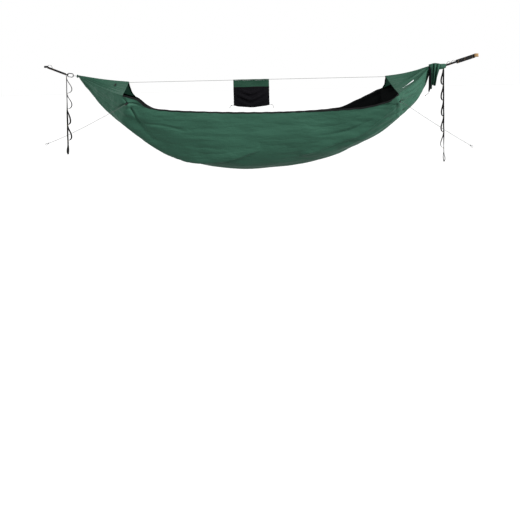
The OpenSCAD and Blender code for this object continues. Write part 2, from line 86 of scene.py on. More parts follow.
world = bpy.data.worlds.new("studio")
scene.world = world
world.use_nodes = True
sky = world.node_tree
sky.nodes["Background"].inputs["Color"].default_value = (1, 1, 1, 1)
# a white room above the horizon, and little light from below it
way = sky.nodes.new("ShaderNodeTexCoord")
parts = sky.nodes.new("ShaderNodeSeparateXYZ")
level = sky.nodes.new("ShaderNodeMapRange")
for index, value in ((1, -0.30), (2, -0.02), (3, 0.50), (4, 1.0)):
    level.inputs[index].default_value = value
sky.links.new(way.outputs["Generated"], parts.inputs[0])
sky.links.new(parts.outputs[2], level.inputs[0])
sky.links.new(level.outputs[0], sky.nodes["Background"].inputs["Strength"])


# ---------- materials ----------

class Nodes:
    """A short way to build a node tree."""

    def __init__(self, name):
        self.material = bpy.data.materials.new(name)
        self.material.use_nodes = True
        self.tree = self.material.node_tree
        self.shader = self.tree.nodes["Principled BSDF"]

    def add(self, kind, settings=None, **inputs):
        node = self.tree.nodes.new("ShaderNode" + kind)
        for key, value in (settings or {}).items():
            setattr(node, key, value)
        for key, value in inputs.items():
            name = key.replace("_", " ")
            socket = node.inputs[int(key[2:])] if key.startswith("in") and key[2:].isdigit() else node.inputs[name]
            if isinstance(value, bpy.types.NodeSocket):
                self.tree.links.new(value, socket)
            else:
                socket.default_value = value
        return node

    def link(self, value, socket):
        self.tree.links.new(value, self.shader.inputs[socket])

    def math(self, how, a, b=0.0):
        return self.add("Math", {"operation": how}, in0=a, in1=b).outputs[0]

    def mix(self, share, a, b):
        node = self.tree.nodes.new("ShaderNodeMix")
        node.data_type = "RGBA"
        for index, value in ((0, share), (6, a), (7, b)):
            if isinstance(value, bpy.types.NodeSocket):
                self.tree.links.new(value, node.inputs[index])
            else:
                node.inputs[index].default_value = value
        return node.outputs[2]

    def uv(self, scale):
        place = self.add("UVMap").outputs[0]
        return self.add("Mapping", Vector=place, Scale=scale).outputs[0]

    def bump(self, height, distance, strength=1.0, normal=None):
        node = self.add("Bump", Height=height, Distance=distance, Strength=strength)
        if normal is not None:
            self.tree.links.new(normal, node.inputs["Normal"])
        return node.outputs[0]


def rgba(r, g, b):
    return (r, g, b, 1.0)


def shade(color, k):
    return rgba(*(min(1.0, c * k) for c in color))


def ripstop(name, color, rough=0.5, sheen=0.05, gloss=0.07, cell=0.006, dusty=0.12, through=0.0):
    """Thin plain-weave nylon with a square grid of thicker threads."""
    n = Nodes(name)
    where = n.add("TexCoord").outputs["Object"]
    broad = n.add("TexNoise", Vector=where, Scale=3.2, Detail=3.0).outputs[0]
    fine = n.add("TexNoise", Vector=where, Scale=90.0, Detail=4.0).outputs[0]
    grid = []
    for axis in (0, 1):
        uv = n.add("SeparateXYZ", Vector=n.uv((1 / cell, 1 / cell, 1))).outputs[axis]
        grid.append(n.math("GREATER_THAN", n.math("PINGPONG", uv, 0.5), 0.44))
    ribs = n.math("MAXIMUM", *grid)
    weave = n.add("TexWave", {"bands_direction": "X"}, Vector=n.uv((1, 1, 1)), Scale=900.0).outputs[1]
    weft = n.add("TexWave", {"bands_direction": "Y"}, Vector=n.uv((1, 1, 1)), Scale=900.0).outputs[1]
    cloth = n.mix(broad, shade(color, 1 - dusty), shade(color, 1 + dusty))
    cloth = n.mix(n.math("MULTIPLY", fine, 0.25), cloth, shade(color, 0.7))
    cloth = n.mix(n.math("MULTIPLY", ribs, 0.16), cloth, shade(color, 1.8))
    n.link(cloth, "Base Color")
    n.link(n.math("ADD", n.math("MULTIPLY", fine, 0.12), rough), "Roughness")
    n.shader.inputs["Sheen Weight"].default_value = sheen
    n.shader.inputs["Sheen Roughness"].default_value = 0.45
    n.shader.inputs["Sheen Tint"].default_value = shade(color, 6.0)
    n.shader.inputs["Specular IOR Level"].default_value = gloss
    # painted glow: emission that stands in for daylight coming through a single thin layer
    n.shader.inputs["Emission Color"].default_value = shade(color, 1.0)
    n.shader.inputs["Emission Strength"].default_value = through
    crinkle = n.add("TexNoise", Vector=where, Scale=38.0, Detail=5.0, Roughness=0.6).outputs[0]
    normal = n.bump(crinkle, 0.0016, 0.55)
    # creases that run mostly along the cloth
    for scale, deep in (((1.6, 5.5, 5.5), 0.050), ((4.5, 14.0, 14.0), 0.016)):
        stretched = n.add("Mapping", Vector=where, Scale=scale).outputs[0]
        bands = n.add("TexNoise", Vector=stretched, Scale=1.0, Detail=3.0, Roughness=0.5).outputs[0]
        normal = n.bump(n.math("ABSOLUTE", n.math("SUBTRACT", bands, 0.5)), deep, 0.7, normal)
    normal = n.bump(ribs, 0.0002, 0.6, normal)
    n.link(n.bump(n.math("MULTIPLY", weave, weft), 0.0001, 0.5, normal), "Normal")
    return n.material


def webbing(name, color, pitch=0.0016, rough=0.75, edge=0.0):
    """Woven tape: a chevron of thick yarns along the length, from UVs in metres."""
    n = Nodes(name)
    parts = n.add("SeparateXYZ", Vector=n.uv((1, 1, 1)))
    along, across = parts.outputs[0], parts.outputs[1]
    slant = n.math("ABSOLUTE", n.math("SUBTRACT", across, 0.0075))
    phase = n.math("MULTIPLY", n.math("ADD", along, slant), 1 / pitch)
    yarn = n.math("PINGPONG", phase, 0.5)
    rows = n.math("PINGPONG", n.math("MULTIPLY", across, 1 / 0.0012), 0.5)
    weave = n.math("MULTIPLY", yarn, n.math("ADD", rows, 0.4))
    where = n.add("TexCoord").outputs["Object"]
    worn = n.add("TexNoise", Vector=where, Scale=60.0, Detail=3.0).outputs[0]
    cloth = n.mix(n.math("MULTIPLY", weave, 1.6), shade(color, 0.55), shade(color, 1.5))
    cloth = n.mix(n.math("MULTIPLY", worn, 0.3), cloth, shade(color, 2.2))
    n.link(cloth, "Base Color")
    n.shader.inputs["Roughness"].default_value = rough
    n.shader.inputs["Specular IOR Level"].default_value = 0.12
    n.link(n.bump(weave, 0.0005, 0.9), "Normal")
    return n.material


def braid(name, color, lay=0.004):
    """Braided cord: crossing helices, from UVs with the turn in v."""
    n = Nodes(name)
    parts = n.add("SeparateXYZ", Vector=n.uv((1, 1, 1)))
    along, turn = n.math("MULTIPLY", parts.outputs[0], 1 / lay), n.math("MULTIPLY", parts.outputs[1], 400.0)
    one = n.math("PINGPONG", n.math("ADD", along, turn), 0.5)
    two = n.math("PINGPONG", n.math("SUBTRACT", along, turn), 0.5)
    strands = n.math("MAXIMUM", one, two)
    fleck = n.add("TexNoise", Vector=n.add("TexCoord").outputs["Object"], Scale=400.0).outputs[0]
    cloth = n.mix(n.math("MULTIPLY", strands, 1.5), shade(color, 0.5), shade(color, 1.15))
    n.link(n.mix(n.math("MULTIPLY", fleck, 0.35), cloth, shade(color, 0.7)), "Base Color")
    n.shader.inputs["Roughness"].default_value = 0.7
    n.shader.inputs["Specular IOR Level"].default_value = 0.2
    n.link(n.bump(strands, 0.0004, 0.8), "Normal")
    return n.material


def solid_braid(name, color):
    """Cord look for pieces without UVs."""
    n = Nodes(name)
    where = n.add("TexCoord").outputs["Object"]
    one = n.add("TexWave", {"bands_direction": "DIAGONAL"}, Vector=where, Scale=260.0, Distortion=1.5)
    fleck = n.add("TexNoise", Vector=where, Scale=500.0).outputs[0]
    cloth = n.mix(one.outputs[1], shade(color, 0.5), shade(color, 1.1))
    n.link(n.mix(n.math("MULTIPLY", fleck, 0.4), cloth, shade(color, 0.7)), "Base Color")
    n.shader.inputs["Roughness"].default_value = 0.7
    n.link(n.bump(one.outputs[1], 0.0004, 0.8), "Normal")
    return n.material


def netting(name, color, cell=0.0028):
    """Knitted net: dark cells between brighter threads."""
    n = Nodes(name)
    cells = n.add("TexVoronoi", {"feature": "DISTANCE_TO_EDGE", "voronoi_dimensions": "2D"},
                  Vector=n.uv((1, 1, 1)), Scale=1 / cell, Randomness=0.25).outputs[0]
    thread = n.math("SUBTRACT", 1.0, n.math("MULTIPLY", cells, 5.0))
    thread = n.math("MAXIMUM", thread, 0.0)
    broad = n.add("TexNoise", Vector=n.add("TexCoord").outputs["Object"], Scale=14.0, Detail=3.0).outputs[0]
    cloth = n.mix(thread, shade(color, 0.15), shade(color, 1.4))
    n.link(n.mix(n.math("MULTIPLY", broad, 0.35), cloth, shade(color, 0.5)), "Base Color")
    n.shader.inputs["Roughness"].default_value = 0.8
    n.shader.inputs["Specular IOR Level"].default_value = 0.04
    n.link(n.bump(thread, 0.0006, 0.8), "Normal")
    return n.material


def metal(name, color, rough, brushed, metallic=1.0):
    n = Nodes(name)
    where = n.add("Mapping", Vector=n.add("TexCoord").outputs["Object"], Scale=brushed).outputs[0]
    scratch = n.add("TexNoise", Vector=where, Scale=120.0, Detail=5.0).outputs[0]
    n.link(n.mix(n.math("MULTIPLY", scratch, 0.5), shade(color, 0.8), shade(color, 1.5)), "Base Color")
    n.shader.inputs["Metallic"].default_value = metallic
    n.shader.inputs["Specular IOR Level"].default_value = 0.15 if metallic < 0.5 else 0.5
    n.link(n.math("ADD", n.math("MULTIPLY", scratch, 0.25), rough), "Roughness")
    n.link(n.bump(scratch, 0.0002, 0.4), "Normal")
    return n.material


def thread(name, color):
    n = Nodes(name)
    where = n.add("TexCoord").outputs["Object"]
    twist = n.add("TexWave", {"bands_direction": "DIAGONAL"}, Vector=where, Scale=420.0).outputs[1]
    n.link(n.mix(twist, shade(color, 0.6), shade(color, 1.15)), "Base Color")
    n.shader.inputs["Roughness"].default_value = 0.6
    n.link(n.bump(twist, 0.0003, 0.7), "Normal")
    return n.material


def tape(name, color):
    """Reflective tape with a fine cell pattern."""
    n = Nodes(name)
    cells = n.add("TexVoronoi", {"feature": "DISTANCE_TO_EDGE", "voronoi_dimensions": "2D"},
                  Vector=n.uv((1, 1, 1)), Scale=420.0, Randomness=0.1).outputs[0]
    lines = n.math("GREATER_THAN", cells, 0.06)
    n.link(n.mix(lines, shade(color, 0.7), rgba(*color)), "Base Color")
    n.shader.inputs["Metallic"].default_value = 0.2
    n.shader.inputs["Roughness"].default_value = 0.35
    n.link(n.bump(lines, 0.0002, 0.5), "Normal")
    return n.material


def plain(name, color, rough):
    n = Nodes(name)
    where = n.add("TexCoord").outputs["Object"]
    soft = n.add("TexNoise", Vector=where, Scale=0.6, Detail=2.0).outputs[0]
    n.link(n.mix(soft, shade(color, 0.98), rgba(*color)), "Base Color")
    n.shader.inputs["Roughness"].default_value = rough
    return n.material


GREEN = (0.0210, 0.0650, 0.0430)
M = {
    "green_ripstop": ripstop("green_ripstop_look", GREEN),
    # painted glow: the hood panels are the green cloth with a darker base colour and emission that stands in for light
    # through the thin cloth
    "hood_ripstop": ripstop("hood_ripstop_look", (0.0110, 0.0355, 0.0230), through=0.75),
    # painted shade: a darker copy of the green ripstop, for the gathered ends, the ridge channel and the band, which
    # are the same green cloth
    "dark_green_ripstop": ripstop("shaded_green_look", (0.009, 0.033, 0.020)),
    "black_lining": ripstop("lining_look", (0.0022, 0.0028, 0.0028), sheen=0.0, gloss=0.02, rough=0.6),
    "black_binding": webbing("binding_look", (0.0035, 0.004, 0.004)),
    "black_webbing": webbing("webbing_look", (0.0050, 0.0050, 0.0054)),
    "tan_webbing": webbing("tan_webbing_look", (0.24, 0.15, 0.07)),
    "tan_thread": thread("tack_look", (0.36, 0.24, 0.11)),
    "grey_cord": braid("cord_look", (0.060, 0.062, 0.060)),
    "grey_rope": solid_braid("rope_look", (0.15, 0.15, 0.145)),
    "black_cord": braid("black_cord_look", (0.006, 0.006, 0.0065)),
    "black_mesh": netting("net_look", (0.0042, 0.0038, 0.0052)),
    "black_aluminium": metal("clip_look", (0.006, 0.006, 0.007), 0.38, (1, 1, 1), metallic=0.0),
    "steel": metal("gate_look", (0.06, 0.062, 0.066), 0.30, (1, 12, 12)),
    "reflective_tape": tape("tape_look", (0.50, 0.52, 0.52)),
    "seam_thread": thread("seam_look", (0.016, 0.050, 0.034)),
}

floor = bpy.data.objects.new("floor", bpy.data.meshes.new("floor"))
scene.collection.objects.link(floor)
floor.data.from_pydata([(-600, -600, FLOOR_Z), (600, -600, FLOOR_Z), (600, 600, FLOOR_Z), (-600, 600, FLOOR_Z)],
                       [], [(0, 1, 2, 3)])
floor.data.materials.append(plain("floor_look", (0.59, 0.59, 0.59), 1.0))
floor.visible_diffuse = False
floor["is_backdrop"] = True


# ---------- mesh helpers ----------

def make(name, points, faces, corners, look, body, replaces=(), smooth=True):
    """A mesh piece from points, faces and a UV for each face corner, in metres."""
    mesh = bpy.data.meshes.new(name)
    mesh.from_pydata(np.asarray(points, float).tolist(), [], faces)
    uv = mesh.uv_layers.new(name="UVMap")
    uv.data.foreach_set("uv", np.asarray(corners, np.float32).ravel())
    mesh.materials.append(M[look])
    mesh.polygons.foreach_set("use_smooth", [smooth] * len(faces))
    piece = bpy.data.objects.new(name, mesh)
    scene.collection.objects.link(piece)
    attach(piece, body)
    if replaces:
        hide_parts(*replaces)
    return piece


def unit(v):
    return v / np.maximum(np.linalg.norm(v, axis=-1, keepdims=True), 1e-12)


def normals(grid):
    return unit(np.cross(np.gradient(grid, axis=0), np.gradient(grid, axis=1)))


def lengths(grid, axis):
    """Mean distance along an axis of a grid, from its first row."""
    steps = np.linalg.norm(np.diff(grid, axis=axis), axis=2).mean(axis=1 - axis)
    return np.concatenate([[0], np.cumsum(steps)])


def grid_part(n, m, offset, us, vs, wrap_n=False, wrap_m=False, flip=False):
    """Faces of an n by m grid of points, and a UV for each of their corners."""
    faces, corners = [], []
    for i in range(n if wrap_n else n - 1):
        for j in range(m if wrap_m else m - 1):
            ring = [(i, j), (i + 1, j), (i + 1, j + 1), (i, j + 1)]
            if flip:
                ring.reverse()
            faces.append([offset + (a % n) * m + b % m for a, b in ring])
            corners += [(us[a], vs[b]) for a, b in ring]
    return faces, corners


def cloth(name, grid, below, above, look, body, slot, replaces=()):
    """A closed sheet between two offsets along a grid's normals."""
    n, m = grid.shape[:2]
    face = normals(grid)
    points = np.concatenate([(grid + face * above).reshape(-1, 3), (grid + face * below).reshape(-1, 3)])
    us, vs = lengths(grid, 0), lengths(grid, 1)
    faces, corners = grid_part(n, m, 0, us, vs)
    inner, inner_corners = grid_part(n, m, n * m, us, vs, flip=True)
    faces, corners = faces + inner, corners + inner_corners
    rim = ([(0, j) for j in range(m)] + [(i, m - 1) for i in range(1, n)]
           + [(n - 1, j) for j in range(m - 2, -1, -1)] + [(i, 0) for i in range(n - 2, 0, -1)])
    for k, a in enumerate(rim):
        b = rim[(k + 1) % len(rim)]
        ia, ib = a[0] * m + a[1], b[0] * m + b[1]
        faces.append([ia, ib, ib + n * m, ia + n * m])
        corners += [(us[a[0]], vs[a[1]]), (us[b[0]], vs[b[1]])] * 1 + [(us[b[0]], vs[b[1]] + 0.001),
                                                                     (us[a[0]], vs[a[1]] + 0.001)]
    return make(name, points, faces, corners, look, body, replaces)


def smooth_path(points, count):
    """A Catmull-Rom curve through the points, evenly spaced."""
    p = np.asarray(points, float)
    p = np.vstack([2 * p[0] - p[1], p, 2 * p[-1] - p[-2]])
    out = []
    for i in range(1, len(p) - 2):
        t = np.linspace(0, 1, 24, endpoint=False)[:, None]
        out.append(0.5 * (2 * p[i] + (p[i + 1] - p[i - 1]) * t
                          + (2 * p[i - 1] - 5 * p[i] + 4 * p[i + 1] - p[i + 2]) * t ** 2
                          + (3 * p[i] - p[i - 1] - 3 * p[i + 1] + p[i + 2]) * t ** 3))
    line = np.vstack(out + [p[-2][None]])
    far = np.concatenate([[0], np.cumsum(np.linalg.norm(np.diff(line, axis=0), axis=1))])
    at = np.linspace(0, far[-1], count)
    return np.stack([np.interp(at, far, line[:, k]) for k in range(3)], axis=1)


def sweep(path, section, sides, closed=False):
    """Points of a section (offsets along two directions) carried along a path.
    sides gives the first direction at each point."""
    path = np.asarray(path, float)
    if closed:
        along = unit(np.roll(path, -1, 0) - np.roll(path, 1, 0))
    else:
        along = unit(np.gradient(path, axis=0))
    side = np.broadcast_to(np.asarray(sides, float), path.shape)
    side = unit(side - (side * along).sum(1, keepdims=True) * along)
    up = np.cross(along, side)
    section = np.asarray(section, float)
    return (path[:, None] + side[:, None] * section[..., 0:1] + up[:, None] * section[..., 1:2])


def solid_sweep(name, parts, look, body, replaces=()):
    """One piece from several swept rings; each part is (grid of rings, closed)."""
    points, faces, corners, base = [], [], [], 0
    for rings, closed in parts:
        n, m = rings.shape[:2]
        us = lengths(rings, 0)
        us = np.append(us, us[-1] + us[1])
        vs = np.concatenate([[0], np.cumsum(np.linalg.norm(np.roll(rings[0], -1, 0) - rings[0], axis=1))])
        f, c = grid_part(n, m, base, us, vs, wrap_n=closed, wrap_m=True)
        faces, corners = faces + f, corners + c
        if not closed:
            for end, order in ((0, range(m)), (n - 1, range(m - 1, -1, -1))):
                faces.append([base + end * m + j for j in order])
                corners += [(us[end], vs[j]) for j in order]
        points.append(rings.reshape(-1, 3))
        base += n * m
    return make(name, np.concatenate(points), faces, corners, look, body, replaces)


def flat_section(width, thick, rounds=3):
    """Outline of webbing: its width along the first direction, with rounded selvedges."""
    r = thick / 2
    arc = np.linspace(-90, 90, rounds + 2) * math.pi / 180
    right = [(width / 2 - r + r * math.cos(a), r * math.sin(a)) for a in arc]
    return np.array(right + [(-x, -y) for x, y in right])


def round_section(radius, count=10):
    a = np.arange(count) * 2 * math.pi / count
    return np.stack([radius * np.cos(a), radius * np.sin(a)], axis=1)


def web(path, side, width, thick, closed=False):
    return sweep(path, flat_section(width, thick), side, closed), closed


def cord_rings(path, radius, side=(0, 0, 1), closed=False, count=10):
    return sweep(path, round_section(radius, count), side, closed), closed


def mix(a, b, t):
    return a + (b - a) * t


def waves(points, seed, size, count=6):
    """Smooth noise from -1 to 1 about, with features of that size, the same each run."""
    random = np.random.default_rng(seed)
    total = 0
    for _ in range(count):
        way = unit(random.normal(size=3)) * 2 * math.pi / (size * random.uniform(0.7, 1.6))
        total = total + np.sin(points @ way + random.uniform(0, 6.28))
    return total / math.sqrt(count)


def to_line(points, line):
    """Distance of each point from a polyline, and how far along the nearest place is, 0 to 1."""
    flat = points.reshape(-1, 3)
    best = np.full(len(flat), 1e9)
    share = np.zeros(len(flat))
    count = len(line) - 1
    for i in range(count):
        a, b = line[i], line[i + 1]
        d = b - a
        t = np.clip(((flat - a) @ d) / max(d @ d, 1e-12), 0, 1)
        gap = np.linalg.norm(flat - a - t[:, None] * d, axis=1)
        near = gap < best
        best[near], share[near] = gap[near], (i + t[near]) / count
    return best.reshape(points.shape[:-1]), share.reshape(points.shape[:-1])


# ---------- the hammock's shape, as in the CAD source, in metres ----------

EDGES = np.array([
    [250, -7, -78, 7, -78], [330, -80, -113, 80, -116], [470, -230, -172, 230, -182],
    [560, -330, -205, 330, -222], [625, -380, -222, 380, -246], [720, -370, -250, 372, -318],
    [786, -362, -302, 362, -348], [900, -350, -330, 350, -366], [1160, -336, -350, 336, -380],
    [1540, -330, -364, 330, -388], [1950, -334, -363, 334, -384], [2240, -346, -352, 346, -362],
    [2340, -352, -344, 352, -322], [2450, -364, -320, 364, -274], [2530, -374, -292, 374, -236],
    [2571, -380, -256, 380, -222], [2640, -318, -222, 318, -190], [2740, -205, -168, 205, -150],
    [2820, -92, -112, 92, -106], [2882, -7, -63, 7, -63]]) / 1000
TIP = {"left": 0.250, "right": 2.882}
CORNER = {"left": 0.625, "right": 2.571}
PEAK = {"left": 0.620, "right": 2.543}
MID_X, HALF_LEN, LOWEST_Z = 1.566, 1.320, -0.794
TIP_Z, RIDGE_Z = {"left": -0.078, "right": -0.063}, -0.131
RIDGE_SAG = {"left": 0.006, "right": 0.012}
HANG = {"left": np.array([0.157, 0, -0.063]), "right": np.array([2.975, 0, -0.063])}
RIGHT_EYE = np.array([3.230, 0, 0.015])


def edge(x, column):
    xs, values = EDGES[:, 0], EDGES[:, column]
    rows = np.arange(len(xs))
    a, b = np.maximum(rows - 1, 0), np.minimum(rows + 1, len(xs) - 1)
    slope = (values[b] - values[a]) / (xs[b] - xs[a])
    i = np.clip(np.searchsorted(xs, x, side="right") - 1, 0, len(xs) - 2)
    h = xs[i + 1] - xs[i]
    t = (x - xs[i]) / h
    return ((2 * t ** 3 - 3 * t ** 2 + 1) * values[i] + (t ** 3 - 2 * t ** 2 + t) * h * slope[i]
            + (3 * t ** 2 - 2 * t ** 3) * values[i + 1] + (t ** 3 - t ** 2) * h * slope[i + 1])


def bottom(x):
    s = np.minimum(np.abs(x - MID_X) / HALF_LEN, 1)
    left = mix(TIP_Z["left"] - 0.007, LOWEST_Z, (1 - s ** 2.4) ** 0.94)
    return np.where(x < MID_X, left, mix(TIP_Z["right"] - 0.007, LOWEST_Z, (1 - s ** 2) ** 0.65))


def body(x, w):
    x, w = np.broadcast_arrays(np.asarray(x, float), np.asarray(w, float))
    far, t, low = w > 0, np.abs(w), bottom(x)
    side = np.where(far, edge(x, 3), edge(x, 1))
    top = np.where(far, edge(x, 4), edge(x, 2))
    return np.stack([x, side * t * (1 + 0.18 * (1 - t ** 2)), low + (top - low) * t ** 2.2], axis=-1)


def ridge_height(end, x):
    """Height of a hood's top line, which sags a little between tip and peak."""
    t = (x - TIP[end]) / (PEAK[end] - TIP[end])
    return mix(TIP_Z[end] + 0.007, RIDGE_Z + 0.005, t) - RIDGE_SAG[end] * np.sin(math.pi * np.clip(t, 0, 1))


def hood(end, far, u, v):
    u, v = np.broadcast_arrays(np.asarray(u, float), np.asarray(v, float))
    tip, peak, corner = TIP[end], PEAK[end], CORNER[end]
    bow = (-1 if end == "left" else 1) * 0.006 * np.sin(math.pi * v)
    foot, top = mix(tip, corner, u), mix(tip, peak, u)
    x = mix(tip, mix(corner, peak, v) + bow, u)
    side, low = edge(foot, 3 if far else 1), edge(foot, 4 if far else 2)
    high = ridge_height(end, top)
    return np.stack([x, mix(side, 0, v), mix(low, high, v) - 0.014 * u * np.sin(math.pi * v)], axis=-1)


# Folds of the body: points as (x, w), width, height, how the height fades along the line,
# and the width of its lower side as a share of the upper side's.
# w runs from -1 at the near edge over 0 at the bottom to 1 at the far edge.
FOLDS = [
    # the underside's long fold at the left
    (((0.42, -0.56), (0.54, -0.55), (0.64, -0.53), (0.76, -0.45), (0.90, -0.34), (1.04, -0.30),
      (1.22, -0.38), (1.40, -0.50), (1.60, -0.64)), 0.060, 0.030, "both", 0.14),
    # creases that run into the left tie-out
    (((0.655, -0.92), (0.625, -0.97), (0.595, -0.995)), 0.008, -0.012, "end", 1.0),
    (((0.655, -0.92), (0.700, -0.935), (0.750, -0.96), (0.790, -0.995)), 0.008, -0.014, "end", 1.0),
    (((0.655, -0.92), (0.615, -0.86), (0.580, -0.78), (0.540, -0.68)), 0.009, -0.014, "end", 1.0),
    (((0.675, -0.86), (0.720, -0.74), (0.780, -0.62), (0.860, -0.52)), 0.014, -0.010, "end", 1.0),
    (((0.72, -0.70), (0.80, -0.78), (0.92, -0.82), (1.06, -0.80)), 0.012, -0.007, "both", 1.0),
    (((0.660, -0.90), (0.640, -0.80), (0.620, -0.68), (0.600, -0.52)), 0.026, 0.012, "end", 1.0),
    # folds from the left tip along the lower edge
    (((0.265, -0.45), (0.30, -0.60), (0.35, -0.62), (0.42, -0.55)), 0.011, -0.014, "both", 1.0),
    (((0.28, -0.75), (0.36, -0.78), (0.46, -0.80), (0.58, -0.84)), 0.012, -0.008, "both", 1.0),
    (((0.30, -0.30), (0.40, -0.36), (0.52, -0.58), (0.60, -0.72)), 0.014, -0.008, "both", 1.0),
    # the long light fold from the right tie-out
    (((2.556, -0.95), (2.500, -0.86), (2.440, -0.77), (2.380, -0.69), (2.290, -0.62), (2.140, -0.57),
      (1.890, -0.46)), 0.034, 0.030, "end", 0.22),
    (((2.556, -0.95), (2.600, -0.84), (2.640, -0.78), (2.700, -0.80)), 0.009, -0.015, "end", 1.0),
    (((2.540, -0.93), (2.490, -0.95), (2.440, -0.97), (2.400, -0.99)), 0.007, -0.011, "end", 1.0),
    (((2.400, -0.80), (2.260, -0.74), (2.120, -0.72), (1.980, -0.74)), 0.012, -0.007, "both", 1.0),
    (((2.556, -0.95), (2.590, -0.75), (2.600, -0.60), (2.590, -0.45)), 0.026, 0.012, "end", 0.5),
    (((2.70, -0.15), (2.66, -0.42), (2.58, -0.60), (2.50, -0.66)), 0.011, -0.015, "both", 1.0),
    (((2.76, -0.75), (2.70, -0.62), (2.64, -0.55), (2.60, -0.50)), 0.009, -0.014, "both", 1.0),
    (((2.80, -0.90), (2.74, -0.86), (2.68, -0.88), (2.60, -0.93)), 0.009, -0.010, "both", 1.0),
    (((2.66, -0.30), (2.52, -0.42), (2.34, -0.44), (2.16, -0.36)), 0.040, 0.010, "both", 0.4),
]
TIE_OUTS = [(0.655, -0.92), (0.655, 0.92), (2.556, -0.95), (2.556, 0.95)]


def fade(share, how):
    if how == "both":
        return np.sin(math.pi * np.clip(share, 0, 1)) ** 0.6
    return np.sqrt(np.clip(1 - share, 0, 1))


def pleats(x, w, end, seed, folds, reach, height):
    """Gathers that run out from a tip: deep and narrow near it, gone at reach."""
    random = np.random.default_rng(seed)
    d = np.abs(x - TIP[end])
    total = 0
    for k in folds:
        total = total + np.cos(math.pi * k * w + random.uniform(0, 6.28) + 1.5 * np.sin(d * 3 + k)) / math.sqrt(len(folds))
    rise = np.clip(d / 0.10, 0, 1) ** 0.8 * np.exp(-(d / reach) ** 1.3)
    return height * total * rise


def body_relief(x, w, base):
    """How far the cloth stands out from the body's plain shape."""
    out = pleats(x, w, "left", 3, (5, 8, 13), 0.38, 0.0070) + pleats(x, w, "right", 8, (5, 9, 14), 0.40, 0.0080)
    for points, width, height, how, below in FOLDS:
        line = smooth_path([body(*p) for p in points], 30)
        order = sorted((p[0], abs(p[1])) for p in points)
        lower = np.abs(w) < np.interp(x, [p[0] for p in order], [p[1] for p in order])
        for mirrored in (False, True):
            if mirrored:
                line = line * np.array([1, -1, 1])
            gap, share = to_line(base, line)
            spread = width * (0.5 + share) if how == "end" else width
            spread = np.where(lower, spread * below, spread)
            out = out + height * np.exp(-(gap / spread) ** 2) * fade(share, how)
    for x0, w0 in TIE_OUTS:
        gap = np.linalg.norm(base - body(x0, w0), axis=-1)
        out = out + 0.009 * np.exp(-gap / 0.030)
    out = out + 0.0038 * waves(base, 5, 0.34) + 0.0016 * waves(base * np.array([0.6, 1, 1]), 6, 0.11)
    out = out + 0.0012 * waves(base * np.array([0.30, 1, 1]), 9, 0.050) * (0.5 + 0.5 * waves(base, 10, 0.5))
    hem = np.clip((1 - np.abs(w)) / 0.05, 0, 1)
    tips = np.clip(np.minimum(x - TIP["left"], TIP["right"] - x) / 0.03, 0, 1)
    return out * hem * tips


def denser(values, places, count):
    """Spaces count values over a range so that they lie closer near some places."""
    fine = np.linspace(values[0], values[-1], 2000)
    weight = 1 + sum(strong * np.exp(-((fine - at) / wide) ** 2) for at, wide, strong in places)
    far = np.concatenate([[0], np.cumsum((weight[1:] + weight[:-1]) / 2)])
    return np.interp(np.linspace(0, far[-1], count), far, fine)


xs = denser((TIP["left"], TIP["right"]), [(0.25, 0.16, 2.5), (0.66, 0.14, 1.6), (2.56, 0.16, 1.6), (2.88, 0.16, 2.5)],
            420)
ws = denser((-0.998, 0.998), [(-0.90, 0.14, 1.0), (-0.45, 0.12, 0.8), (0.90, 0.14, 0.6)], 191)
plain_body = body(xs[:, None], ws[None, :])
inward = normals(plain_body)
relief = body_relief(xs[:, None], ws[None, :], plain_body)
shell = cloth("shell", plain_body - inward * relief[..., None], 0, 0.0010, "green_ripstop", "hammock",
              "green_ripstop", ["outer_shell"])
# the lining bridges the narrow creases, so that it stays inside the shell
bridged = relief
for axis in (0, 1):
    bridged = np.minimum.reduce([np.roll(bridged, k, axis) for k in range(-2, 3)])
inner_grid = (plain_body - inward * (bridged - 0.0026)[..., None])[6:-6:2, 1:-1:2]
lining = cloth("lining", inner_grid, 0, 0.0008, "black_lining", "hammock", "black_lining", ["inner_lining"])

# bindings along the long edges, from corner to corner
for side, sign, columns in (("near", -1, (1, 2)), ("far", 1, (3, 4))):
    x = np.linspace(CORNER["left"], CORNER["right"], 220)
    top = np.stack([x, edge(x, columns[0]), edge(x, columns[1])], axis=1)
    under = body(x, np.full_like(x, sign * 0.96))
    down = unit(under - top)
    line = top + down * 0.0042 + np.stack([0 * x, 0.0006 * np.sin(x * 90), 0.0008 * np.sin(x * 70)], 1)
    solid_sweep(side + "_hem", [web(line, down, 0.0120, 0.0036)], "black_binding", "hammock",
                [side + "_edge_binding"])


# ---------- storm hoods ----------

HOOD_SEED = {("left", False): 11, ("left", True): 12, ("right", False): 13, ("right", True): 14}


def hood_relief(end, far, u, v, base):
    random = np.random.default_rng(HOOD_SEED[end, far])
    total = 0
    for k in (2.5, 4.5, 7, 10):
        total = total + np.cos(2 * math.pi * k * v + random.uniform(0, 6.28) + 0.8 * u) / 2
    deep = 0.0095 if end == "right" else 0.0080
    out = deep * total * np.clip(u / 0.2, 0, 1) ** 0.7 * np.exp(-(u / 0.75) ** 3)
    out = out + 0.0030 * waves(base, 21 + HOOD_SEED[end, far], 0.20) * u
    return out * np.sin(math.pi * np.clip(v, 0, 1)) ** 0.5


def hood_grid(end, far, us, vs, inset=0.0):
    """Grid of a hood panel whose normals point outward when inset is 0."""
    if (end == "left") == far:
        vs = vs[::-1]
    base = hood(end, far, us[:, None], vs[None, :])
    relief = hood_relief(end, far, us[:, None], vs[None, :], base)
    return base + normals(base) * (relief - inset)[..., None]


